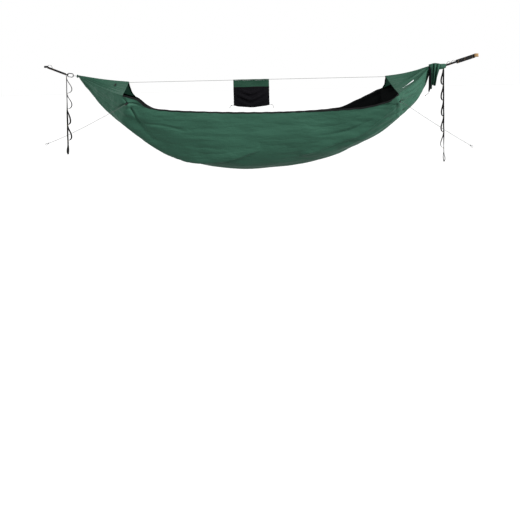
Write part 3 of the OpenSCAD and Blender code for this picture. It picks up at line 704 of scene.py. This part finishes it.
for end in ("left", "right"):
    for far in (False, True):
        name = "%s_hood_%s" % (end, "far" if far else "near")
        us, vs = np.linspace(0.02, 1.0, 110), np.linspace(0.0, 0.992, 64)
        # painted glow: the panels use the hood material, whose emission stands in for light through the cloth
        panel = cloth(name + "_panel", hood_grid(end, far, us, vs), -0.0009, 0, "hood_ripstop", "hammock",
                      "green_ripstop", [name])
    # black binding inside each free edge
    strips = []
    for far in (False, True):
        vs = np.linspace(0.01, 0.985, 50)
        inner = hood_grid(end, far, np.array([0.955, 0.982, 1.0]), vs, 0.0012)
        line, other = inner[1], inner[0]
        strips.append(web(line, other - line, 0.0110, 0.0012))
    solid_sweep(end + "_hood_hem", strips, "black_binding", "hammock", [end + "_hood_binding"])

# felled seams where the hoods meet the body, and along the ridge
seams = []
for end in ("left", "right"):
    for columns in ((1, 2), (3, 4)):
        x = np.linspace(TIP[end] + (0.02 if end == "left" else -0.02), CORNER[end], 60)
        line = np.stack([x, edge(x, columns[0]), edge(x, columns[1])], axis=1)
        seams.append(cord_rings(line, 0.0018, count=8))
    x = np.linspace(TIP[end] + (0.02 if end == "left" else -0.02), PEAK[end], 40)
    seams.append(cord_rings(np.stack([x, 0 * x, ridge_height(end, x)], 1), 0.0018, count=8))
solid_sweep("hood_seams", seams, "green_ripstop", "hammock")


# ---------- gathered ends ----------

SLING_TILT = math.asin(0.015 / (TIP["left"] - HANG["left"][0]))


def slung(points):
    """Turns what is made level with the left hang loop down to the lower left tip."""
    c, s = math.cos(SLING_TILT), math.sin(SLING_TILT)
    p = np.asarray(points, float) - HANG["left"]
    return HANG["left"] + np.stack([p[..., 0] * c + p[..., 2] * s + 0.0012, p[..., 1],
                                    p[..., 2] * c - p[..., 0] * s], axis=-1)


for end, out in (("left", -1), ("right", 1)):
    tip = TIP[end]
    angles = np.linspace(0, 2 * math.pi, 73)[:-1]
    rings = []
    for d, radius, fold in ((-0.012, 0.0078, 0.10), (-0.003, 0.0074, 0.10), (0.001, 0.0066, 0.04),
                            (0.0095, 0.0064, 0.04), (0.0125, 0.0092, 0.16), (0.0155, 0.0104, 0.20),
                            (0.0180, 0.0098, 0.22), (0.0200, 0.0070, 0.25), (0.0195, 0.0030, 0.20)):
        r = radius * (1 + fold * np.cos(9 * angles) + 0.4 * fold * np.cos(14 * angles + 1))
        rings.append(np.stack([np.full_like(angles, tip + out * d), r * np.cos(angles),
                               HANG[end][2] + r * np.sin(angles)], axis=1))
    rings = slung(rings) if end == "left" else np.array(rings)
    if out < 0:
        rings = rings[::-1]
    # painted shade: the gathered end uses the darker copy of the green ripstop
    solid_sweep(end + "_gather_knob", [(rings, False)], "dark_green_ripstop", "hammock",
                [end + "_gather"])
    turn = np.linspace(0, 5 * 2 * math.pi, 140)
    coil = np.stack([tip + out * (0.0008 + 0.0085 * turn / turn[-1]), 0.0076 * np.cos(turn),
                     HANG[end][2] + 0.0076 * np.sin(turn)], axis=1)
    coil = slung(coil) if end == "left" else coil
    solid_sweep(end + "_whipping_cord", [cord_rings(coil, 0.0011, (1, 0, 0), count=8)], "grey_cord",
                "hammock", [end + "_whipping"])


# ---------- ridge line ----------

def knot_path(centre, size, turns=1):
    """An overhand knot pulled round, as a closed trefoil."""
    t = np.linspace(0, 2 * math.pi, 60, endpoint=False)
    return np.asarray(centre) + size * np.stack(
        [0.35 * np.sin(3 * t), (np.sin(t) + 2 * np.sin(2 * t)) / 3, (np.cos(t) - 2 * np.cos(2 * t)) / 3], axis=1)


ridge = []
line_x = np.linspace(PEAK["left"], PEAK["right"], 60)
ridge.append(cord_rings(np.stack([line_x, 0 * line_x, 0 * line_x + RIDGE_Z], 1), 0.00125, (0, 1, 0)))
for end, inner in (("left", 0.06), ("right", -0.06)):
    a = np.array([PEAK[end], 0, RIDGE_Z])
    start = TIP[end] + inner
    z = mix(TIP_Z[end], RIDGE_Z, inner / (PEAK[end] - TIP[end])) - 0.020
    b = np.array([start, 0, z])
    ridge.append(cord_rings(mix(a, b, np.linspace(0, 1, 20)[:, None]), 0.00125, (0, 1, 0)))
    ridge.append(cord_rings(knot_path(a, 0.0034), 0.0012, (1, 0, 0), closed=True, count=8))
solid_sweep("ridge_cord", ridge, "grey_cord", "hammock", ["ridge_line"])


# ---------- tie-outs and guy lines ----------

def turn_z(v, angle):
    c, s = np.cos(angle), np.sin(angle)
    return np.stack([v[..., 0] * c - v[..., 1] * s, v[..., 0] * s + v[..., 1] * c, v[..., 2]], axis=-1)


def tie_tab(name, foot, yaw, pitch, length):
    """A folded loop of webbing, stitched to the side panel."""
    yaw, pitch = math.radians(yaw), math.radians(pitch)
    t = np.linspace(-math.pi / 2, math.pi / 2, 9)
    r = 0.0021
    half = [np.array([x, -r, 0]) for x in np.linspace(0, length, 8)[:-1]]
    half += [np.array([length + r * math.cos(a), r * math.sin(a), 0]) for a in t]
    half += [np.array([x, r, 0]) for x in np.linspace(length, 0, 8)[1:]]
    local = np.array(half) * 1.0
    c, s = math.cos(pitch), math.sin(pitch)
    tilted = np.stack([local[:, 0] * c, local[:, 1], -local[:, 0] * s], axis=1)
    path = np.asarray(foot) + turn_z(tilted, yaw)
    side = turn_z(np.array([[s, 0, c]]), yaw)
    solid_sweep(name + "_loop", [web(path, side, 0.012, 0.0012)], "black_webbing", "hammock",
                [name])


tie_tab("left_near_tie_tab", (0.660, -0.362, -0.277), 215, 28, 0.022)
tie_tab("left_far_tie_tab", (0.660, 0.364, -0.290), 145, 28, 0.022)
tie_tab("right_near_tie_tab", (2.556, -0.370, -0.296), -40, 28, 0.030)
tie_tab("right_far_tie_tab", (2.556, 0.372, -0.280), 40, 28, 0.022)

GUYS = {
    "left_guy_line": [
        (0.64, -0.377, -0.29), (0.622, -0.388, -0.301), (0.6, -0.4, -0.314), (0.54, -0.43, -0.347),
        (0.48, -0.456, -0.379), (0.42, -0.479, -0.411), (0.36, -0.501, -0.441), (0.3, -0.524, -0.47),
        (0.25, -0.543, -0.493), (0.2, -0.562, -0.514), (0.17, -0.575, -0.526), (0.146, -0.5855, -0.5355),
        (0.1415, -0.5875, -0.54), (0.138, -0.589, -0.5435), (0.1345, -0.5905, -0.5455),
        (0.1305, -0.592, -0.546), (0.1275, -0.5935, -0.5435), (0.127, -0.5935, -0.54),
        (0.129, -0.5925, -0.5365), (0.133, -0.591, -0.5355), (0.138, -0.589, -0.535), (0.1425, -0.587, -0.534)],
    "right_guy_line": [
        (2.58, -0.391, -0.313), (2.596, -0.398, -0.322), (2.62, -0.408, -0.337), (2.67, -0.43, -0.373),
        (2.72, -0.452, -0.411), (2.77, -0.474, -0.447), (2.82, -0.496, -0.483), (2.87, -0.518, -0.519),
        (2.92, -0.54, -0.553), (2.96, -0.559, -0.58), (2.99, -0.573, -0.6), (3.01, -0.5825, -0.6135),
        (3.0135, -0.584, -0.6185), (3.0165, -0.5855, -0.623), (3.0195, -0.587, -0.626), (3.023, -0.589, -0.627),
        (3.0265, -0.5905, -0.6255), (3.0275, -0.591, -0.6215), (3.026, -0.59, -0.618),
        (3.0225, -0.5885, -0.616), (3.018, -0.586, -0.6145), (3.0135, -0.584, -0.6125)],
}
for node, route in GUYS.items():
    path = smooth_path(route, 160)
    line = solid_sweep(node + "_cord", [cord_rings(path, 0.0012, count=8)], "grey_cord", "hammock",
                       [node])
    size = 0.0042
    knots = [cord_rings(knot_path(route[0], size), 0.0012, (1, 0, 0), closed=True, count=8),
             cord_rings(knot_path(mix(np.array(route[-1]), np.array(route[-11]), 0.5), size), 0.0012,
                        (1, 0, 0), closed=True, count=8)]
    tied = solid_sweep(node + "_knots", knots, "grey_cord", "hammock")


# ---------- gear loop and light strip on the hoods ----------

def on_hood(end, far, u, v, lift):
    """Points that stand above a hood's outer face."""
    u, v = np.asarray(u, float), np.asarray(v, float)
    e = 0.004
    a = hood(end, far, u + e, v) - hood(end, far, u - e, v)
    b = hood(end, far, u, v + e) - hood(end, far, u, v - e)
    out = unit(np.cross(a, b)) * (1 if (end == "left") != far else -1)
    base = hood(end, far, u, v)
    return base + out * (hood_relief(end, far, u, v, base) + lift)[..., None], out


v = np.linspace(0.58, 0.78, 25)
arch = 0.0012 + 0.010 * np.sin(math.pi * np.clip((v - 0.60) / 0.16, 0, 1)) ** 0.7
path, face = on_hood("left", False, np.full_like(v, 0.775), v, arch)
solid_sweep("gear_loop_web", [web(path, np.cross(np.gradient(path, axis=0), face), 0.010, 0.0012)],
            "black_webbing", "hammock", ["gear_loop"])
u, v = np.meshgrid(np.linspace(0.84, 0.51, 40), np.linspace(-0.5, 0.5, 5), indexing="ij")
strip, _ = on_hood("right", False, u, 0.19 + 0.21 * (0.84 - u) + 0.030 * v, np.full_like(u, 0.0006))
cloth("light_strip", strip, 0, 0.0004, "reflective_tape", "hammock", "reflective_tape", ["reflective_strip"])


# ---------- tree straps ----------

def ring_path(centre, radius, count=48):
    a = np.linspace(0, 2 * math.pi, count, endpoint=False)
    return np.asarray(centre) + radius * np.stack([np.cos(a), np.sin(a), 0 * a], axis=1)


UP = (0, 0, 1)
BEND = (0, 1, 0)
web_w, web_t = 0.015, 0.002
eye_r, hang_r = 0.012, 0.0068


def strap_point(end, t):
    a, b = (np.zeros(3), HANG["left"]) if end == "left" else (HANG["right"], RIGHT_EYE)
    return mix(a, b, np.asarray(t, float)[..., None])


def strap(name, end, t0, t1, wide, thick, node, trim0, trim1):
    """Upright webbing along a strap's line, cut short of the loops at its ends."""
    a, b = strap_point(end, t0), strap_point(end, t1)
    way = unit(b - a)
    t = np.linspace(0, 1, 40)[:, None]
    line = mix(a + way * trim0, b - way * trim1, t)
    line[:, 1] += 0.0004 * np.sin(np.linspace(0, 9, 40))
    solid_sweep(name, [web(line, UP, wide, thick)], "black_webbing", "straps", [node])


strap("left_strap_web", "left", 0, 1, web_w, web_t, "left_tree_strap", eye_r + web_t * 0.4, 0.0094)
strap("right_strap_web", "right", 0, 0.405, web_w, web_t, "right_tree_strap", hang_r + web_t * 0.4, 0)
strap("right_band_web", "right", 0.40, 1, 0.029, 0.003, "right_tree_band", 0, eye_r + 0.001)

for name, centre, radius, wide, thick, look, node in (
        ("left_eye_web", (0, 0, 0), eye_r, web_w, web_t, "black_webbing", "left_anchor_eye"),
        ("right_eye_web", RIGHT_EYE, eye_r, 0.026, 0.003, "tan_webbing", "right_anchor_eye"),
        ("left_hang_web", HANG["left"], 0.0086, web_w - 0.005, web_t, "black_webbing", "left_hang_loop"),
        ("right_hang_web", HANG["right"], hang_r, web_w, web_t, "black_webbing", "right_hang_loop")):
    loop = ring_path(centre, radius + thick / 2)
    solid_sweep(name, [web(loop, UP, wide, thick, closed=True)], look, "straps",
                [node])


def over_right(a, h):
    z = strap_point("right", a / (3.230 - 2.975))[2]
    return (2.975 + a, 0, z + web_w / 2 + 0.0014 + h)


seat = strap_point("left", 0.33)[2] + web_w / 2 + 0.0012
left_slack = [(0.015, 0, 0.0035), (0.018, 0, 0.009), (0.026, 0, 0.012), (0.034, 0, 0.0115),
              (0.042, 0, 0.006), (0.047, 0, seat + 0.001), (0.051, 0, seat)]
solid_sweep("left_slack_web", [web(smooth_path(left_slack, 40), BEND, 0.011, 0.0014)], "black_webbing",
            "straps", ["left_slack_loop"])
humps = [[(0.029, 0.0003), (0.034, 0.007), (0.040, 0.012), (0.047, 0.011), (0.053, 0.004), (0.057, 0.0003)],
         [(0.062, 0.0003), (0.068, 0.005), (0.076, 0.009), (0.084, 0.0085), (0.092, 0.004), (0.097, 0.0003)]]
solid_sweep("right_slack_web",
            [web(smooth_path([over_right(*p) for p in hump], 36), BEND, 0.011, 0.0014) for hump in humps],
            "black_webbing", "straps", ["right_slack_loops"])


def bar_tack(centre, along, up, out, wide, high):
    """A zigzag of thread on one face of the webbing."""
    along, up, out = (np.asarray(v, float) for v in (along, up, out))
    rows = 14
    path = [centre + out * 0.0003 + up * high * (k / rows - 0.5) + along * wide * (0.5 if k % 2 else -0.5)
            for k in range(rows + 1)]
    return cord_rings(np.array(path), 0.0004, out, count=6)


def tack_set(name, places, look, body, node):
    parts = []
    for centre, along, up, out, wide, high in places:
        parts.append(bar_tack(np.asarray(centre), along, up, out, wide, high))
    solid_sweep(name, parts, look, body, [node])


for end, marks, node in (("left", [(0.16, web_w, web_t), (0.34, web_w, web_t), (0.90, web_w, web_t)], "left_strap_tacks"),
                         ("right", [(0.08, web_w, web_t), (0.235, web_w, web_t), (0.46, 0.029, 0.003),
                                    (0.66, 0.029, 0.003), (0.88, 0.029, 0.003)], "right_strap_tacks")):
    way = unit(strap_point(end, 1.0) - strap_point(end, 0.0))
    places = []
    for t, wide, thick in marks:
        for s in (-1, 1):
            centre = strap_point(end, t) + np.array([0, s * thick / 2, 0])
            places.append((centre, way, (0, 0, 1), (0, s, 0), 0.004, wide - 0.004))
    tack_set(end + "_strap_stitches", places, "tan_thread", "straps", node)


# ---------- daisy-chain tails ----------

LOOP_PITCH, FIRST_TACK, LINE_T = 0.118, 0.016, 0.0016


TWIST = {"left": ((0.0, -6), (0.20, -12), (0.32, -38), (0.60, -30)),
         "right": ((0.0, 215), (0.20, 212), (0.48, 205), (0.60, 178), (0.72, 190))}
TAIL_TOP = {"left": (0.152, 0, -0.0714), "right": (2.980, 0, -0.0714)}
TAIL_LEAN = {"left": 0.0, "right": math.radians(1)}


def tail_turn(end, down):
    table = np.array(TWIST[end], float)
    return np.radians(np.interp(down, table[:, 0], table[:, 1]))


def tail_place(end, points):
    """From the tail's own plane (out, across, down) to the frame; the webbing twists as it hangs."""
    points = np.asarray(points, float)
    lean = TAIL_LEAN[end]
    hung = turn_z(points, tail_turn(end, -points[..., 2]))
    lean_x = hung[..., 0] * math.cos(lean) + hung[..., 2] * math.sin(lean)
    lean_z = hung[..., 2] * math.cos(lean) - hung[..., 0] * math.sin(lean)
    return np.asarray(TAIL_TOP[end]) + np.stack([lean_x, hung[..., 1], lean_z], axis=-1)


def loop_out(v, bulge):
    return LINE_T * 1.1 + bulge * 2.2 * v ** 1.8 * (1 - v) ** 0.5 * (1.4 - 0.6 * v)


for end, loops, bulge in (("left", 4, 0.058), ("right", 5, 0.035)):
    body_name = end + "_tail"

    def across(down):
        turned = tail_turn(end, np.asarray(down, float))
        return np.stack([-np.sin(turned), np.cos(turned), 0 * turned], axis=-1)

    low = FIRST_TACK + loops * LOOP_PITCH + 0.026
    down = np.linspace(0, low, 120)
    sway = 0.0008 * np.sin(down * 40)
    line = tail_place(end, np.stack([sway * 0, sway, -down], 1))
    a = np.linspace(0, 1, 40)
    back = low + 0.074 * a ** 0.8
    tear = tail_place(end, np.stack([-0.011 * np.sin(math.pi * a) * (0.25 + a), 0 * a, -back], 1))
    front = tail_place(end, np.stack([0.005 * np.sin(math.pi * a), 0 * a, -low - 0.074 * a], 1))
    solid_sweep(end + "_tail_web", [web(line, across(down), web_w, LINE_T),
                                    web(tear, across(back), web_w - 0.001, LINE_T),
                                    web(front, across(low + 0.074 * a), web_w - 0.001, LINE_T)],
                "black_webbing", body_name, [end + "_tail_line"])
    parts = []
    for k in range(loops):
        v = np.linspace(0, 1, 60)
        wobble = 1 + 0.10 * math.sin(2.1 * k + 0.6)
        z = -FIRST_TACK - k * LOOP_PITCH - 0.004 - v * (LOOP_PITCH - 0.008)
        out = LINE_T * 1.1 + (loop_out(v, bulge) - LINE_T * 1.1) * wobble
        parts.append(web(tail_place(end, np.stack([out, 0 * v, z], 1)), across(-z), web_w, LINE_T))
    solid_sweep(end + "_tail_loops_web", parts, "black_webbing", body_name, [end + "_tail_loops"])
    places = []
    for k in range(loops + 1):
        z = -FIRST_TACK - k * LOOP_PITCH + 0.0005
        turned = float(tail_turn(end, -z))
        for out in (-1, 1):
            away = LINE_T / 2 if out < 0 else LINE_T / 2 + LINE_T + 0.0002
            places.append((tail_place(end, (out * away, 0, z)), (0, 0, 1), across(-z),
                           turn_z(np.array([float(out), 0, 0]), turned), 0.005, web_w - 0.003))
    tack_set(end + "_tail_stitches", places, "tan_thread", body_name, end + "_tail_tacks")


# ---------- rolled bug net at the right end ----------

def gathered_tube(stations, folds, seed, depth, open_low=None, count=96):
    """Cloth pulled round the suspension: (x, y, z, radius) stations, with soft lengthwise folds."""
    random = np.random.default_rng(seed)
    stations = smooth_stations(stations, 60)
    a = np.linspace(0, 2 * math.pi, count, endpoint=False)
    share = np.linspace(0, 1, len(stations))
    total = 0
    for k in folds:
        total = total + np.cos(k * a[None, :] + random.uniform(0, 6.28)
                               + 1.2 * np.sin(share * 5 + k)[:, None]) / math.sqrt(len(folds))
    radius = stations[:, 3:4] * (1 + depth * total)
    y = stations[:, 1:2] + radius * np.cos(a)[None, :]
    z = stations[:, 2:3] + radius * np.sin(a)[None, :]
    return np.stack([np.broadcast_to(stations[:, 0:1], y.shape), y, z], axis=-1)


def smooth_stations(stations, count):
    s = np.asarray(stations, float)
    t = np.linspace(0, len(s) - 1, count)
    i = np.clip(t.astype(int), 0, len(s) - 2)
    f = (t - i)[:, None]
    f = f * f * (3 - 2 * f)
    return mix(s[i], s[i + 1], f)


def tube_sheet(name, grid, thick, look, body, replaces=()):
    """A closed tube with a wall: outer and inner skins joined at both ends."""
    n, m = grid.shape[:2]
    ring = np.concatenate([grid, grid[:, :1]], axis=1)
    face = normals(ring)[:, :-1]
    outward = grid - grid.mean(axis=1, keepdims=True)
    sign = np.sign((face * outward).sum())
    inner = grid - face * sign * thick
    skins = np.concatenate([grid, inner[::-1]], axis=0)
    us, vs = lengths(skins, 0), np.concatenate([[0], np.cumsum(np.linalg.norm(np.diff(ring, axis=1), axis=2).mean(0))])
    us = np.append(us, us[-1] + 0.001)
    faces, corners = grid_part(2 * n, m, 0, us, vs, wrap_n=True, wrap_m=True, flip=sign > 0)
    return make(name, skins.reshape(-1, 3), faces, corners, look, body, replaces)


sleeve_line = [(2.872, 0.001, -0.068, 0.0105), (2.886, 0.000, -0.066, 0.0155), (2.905, 0.000, -0.064, 0.0200),
               (2.930, 0.000, -0.0635, 0.0215), (2.955, 0.000, -0.064, 0.0210), (2.972, 0.000, -0.0635, 0.0192),
               (2.988, 0.000, -0.0615, 0.0166), (2.997, 0.000, -0.0605, 0.0146)]
sleeve = gathered_tube(sleeve_line, (3, 6, 10), 41, 0.08)
tube_sheet("net_sleeve_cloth", sleeve, 0.0010, "green_ripstop", "hammock", ["net_sleeve"])


def flap(u, v):
    """The net's loose end, hanging in folds from the sleeve."""
    width = mix(1.0, 0.46, v ** 0.8)
    x = 2.912 + (u - 0.5) * 0.094 * width - 0.020 * v
    deep = 0.009 + 0.011 * v
    y = -0.030 - 0.012 * v + deep * np.sin(2 * math.pi * 3.2 * u + 1.0 + 0.7 * v) + 0.004 * np.sin(17 * u + 5 * v)
    hem = mix(-0.226, -0.186, u) - 0.010 * np.sin(2 * math.pi * 1.6 * u + 0.5)
    z = mix(-0.048 + 0.010 * np.sin(math.pi * u), hem, v)
    return np.stack([x, y, z], axis=-1)


u, v = np.linspace(0, 1, 110), np.linspace(0, 1, 60)
flap_grid = flap(u[:, None], v[None, :])
loose = cloth("net_flap_cloth", flap_grid, -0.0005, 0.0005, "green_ripstop", "hammock", "green_ripstop", ["net_flap"])

roll_line = [(2.866, -0.048, -0.066), (2.867, -0.050, -0.110), (2.866, -0.053, -0.150),
             (2.864, -0.052, -0.190), (2.861, -0.051, -0.220), (2.856, -0.050, -0.250)]
path = smooth_path(roll_line, 50)
angles = np.arange(28) * 2 * math.pi / 28
share = np.linspace(0, 1, 50)[:, None]
size = 0.0062 * (0.55 + 0.75 * np.sin(math.pi * np.clip(share * 0.93 + 0.05, 0, 1)) ** 0.7)
section = size * (1 + 0.22 * np.cos(5 * angles + 5 * share) + 0.12 * np.cos(9 * angles - 4 * share))
rings = sweep(path, np.stack([section * np.cos(angles), section * np.sin(angles)], axis=-1), (0, 1, 0))
solid_sweep("net_bundle", [(rings, False)], "black_mesh", "hammock", ["net_roll"])

# the drawcord's end, below the roll
route = [(2.857, -0.050, -0.243), (2.856, -0.051, -0.253), (2.852, -0.052, -0.261), (2.845, -0.053, -0.267),
         (2.837, -0.053, -0.272), (2.829, -0.053, -0.278)]
path = smooth_path(route, 30)
drawcord = solid_sweep("net_drawcord", [cord_rings(path, 0.0012, (0, 1, 0), count=8)], "black_cord", "hammock")
tied = solid_sweep("net_drawcord_knot", [cord_rings(knot_path(path[-1], 0.0034), 0.0012, (1, 0, 0), closed=True,
                                                    count=8)], "black_cord", "hammock")


# ---------- organizer on the ridge line ----------

POCKET_X, POCKET_W, BAND_H, MESH_H = 1.536, 0.268, 0.050, 0.142
BAND_TOP = RIDGE_Z - 0.00405
BAND_LOW = BAND_TOP - BAND_H
x0, x1 = POCKET_X - POCKET_W / 2, POCKET_X + POCKET_W / 2


def drop(x):
    """How far the hem hangs below its corners, 0 to 1."""
    return np.sin(math.pi * np.clip((x - x0) / POCKET_W, 0, 1)) ** 0.9


def hem_z(x):
    return BAND_LOW - MESH_H + 0.010 - 0.016 * drop(x) + 0.0010 * np.sin(x * 60)


a = np.linspace(0.02, 2 * math.pi - 0.02, 40)
xs_channel = np.linspace(x0, x1, 60)
ripple = 0.00025 * np.sin(xs_channel * 70)[:, None]
r = 0.0032 + ripple
channel = np.stack([np.broadcast_to(xs_channel[:, None], (60, 40)), r * np.sin(a)[None, :],
                    RIDGE_Z - r * np.cos(a)[None, :] * 1.0], axis=-1)
# painted shade: the channel uses the darker copy of the green ripstop
cloth("channel_cloth", channel, -0.0004, 0.0004, "dark_green_ripstop", "organizer_slider", "green_ripstop",
      ["organizer_channel"])

xb, zb = np.linspace(x0, x1, 90), np.linspace(0, 1, 30)
band = np.stack(np.broadcast_arrays(
    xb[:, None], 0.0012 * np.sin(xb * 45)[:, None] * zb[None, :] + 0.0010 * np.sin(xb * 24 + 1)[:, None] * zb[None, :],
    BAND_TOP - BAND_H * zb[None, :] + 0 * xb[:, None]), axis=-1)
# painted shade: the band uses the darker copy of the green ripstop
band_piece = cloth("band_cloth", band, -0.0007, 0.0007, "dark_green_ripstop", "organizer", "green_ripstop", ["organizer_band"])

top = BAND_LOW + 0.002
zs = np.linspace(0, 1, 60)


def mesh_panel(name, depth, node, front):
    x = np.linspace(x0 + 0.004, x1 - 0.004, 100)
    u = (x - x0) / POCKET_W
    z = mix((top - (0.012 if front else 0)) + 0 * x[:, None], hem_z(x)[:, None] + 0.003, zs[None, :])
    bulge = depth * np.sin(math.pi * u)[:, None] * (0.35 + 0.65 * np.sin(math.pi * np.clip(zs * 0.8 + 0.1, 0, 1)))[None, :]
    swag = 0.0
    if front:
        # nested U-shaped folds where the net hangs slack
        phase = (zs[None, :] + 1.15 * np.abs(u - 0.47)[:, None] ** 1.3) * 17
        swag = 0.0060 * np.sin(phase) * np.sin(math.pi * u)[:, None] * np.exp(-((zs[None, :] - 0.5) / 0.42) ** 2)
    y = -bulge + swag
    grid = np.stack(np.broadcast_arrays(x[:, None], y, z), axis=-1)
    piece = cloth(name, grid, -0.0004, 0.0004, "black_mesh", "organizer", "black_mesh", [node])


mesh_panel("back_net", -0.0008, "organizer_back", False)
mesh_panel("pocket_net", 0.0150, "organizer_pockets", True)

z = np.linspace(BAND_LOW + 0.001, 0, 30)
sides = []
for s, x_side in ((-1, x0 + 0.003), (1, x1 - 0.003)):
    z = np.linspace(BAND_LOW + 0.001, hem_z(np.array([x_side]))[0], 40)
    line = np.stack([x_side + 0.0004 * np.sin(z * 260), 0 * z, z], axis=1)
    sides.append(web(line, (1, 0, 0), 0.0068, 0.0026))
x = np.linspace(x0 + 0.001, x1 - 0.001, 80)
line = np.stack([x, 0.0006 * np.sin(x * 130), hem_z(x)], axis=1)
sides.append(web(line, UP, 0.0070, 0.0030))
top_hem = np.stack([x, 0 * x, 0 * x + BAND_LOW], axis=1)
sides.append(web(top_hem, UP, 0.0050, 0.0022))
solid_sweep("pouch_binding", sides, "black_binding", "organizer", ["organizer_binding"])

hem_line = np.stack([x, 0 * x - 0.0008, hem_z(x) - 0.0042], axis=1)
hem_cord = solid_sweep("hem_cord", [cord_rings(hem_line, 0.0012, (0, 1, 0), count=8)], "black_cord", "organizer",
                       ["organizer_hem_cord"])
for s, name in ((-1, "hem_tail_left"), (1, "hem_tail_right")):
    corner = hem_line[0] if s < 0 else hem_line[-1]
    route = [corner, corner + (s * 0.012, -0.001, 0.001), corner + (s * 0.022, -0.003, -0.001),
             corner + (s * 0.029, -0.002, -0.008), corner + (s * 0.031, -0.002, -0.018)]
    path = smooth_path(route, 40)
    tail = solid_sweep(name, [cord_rings(path, 0.0011, (0, 1, 0), count=8)], "black_cord", "organizer")
    tied = solid_sweep(name + "_knot", [cord_rings(knot_path(path[18], 0.0034), 0.0011, (1, 0, 0), closed=True, count=8),
                                        cord_rings(knot_path(path[-1], 0.0030), 0.0011, (1, 0, 0), closed=True, count=8)],
                       "black_cord", "organizer")


# ---------- materials of the CAD nodes that stay ----------

KEPT = {
    "black_aluminium": ["left_carabiner_frame", "right_carabiner_frame"],
    "steel": ["left_gate", "right_gate", "left_gate_pin", "right_gate_pin"],
    "grey_rope": ["left_rope_loop", "right_rope_loop"],
}
for look, names in KEPT.items():
    for name in names:
        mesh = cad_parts[name].data
        mesh.materials.clear()
        mesh.materials.append(M[look])

low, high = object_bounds()
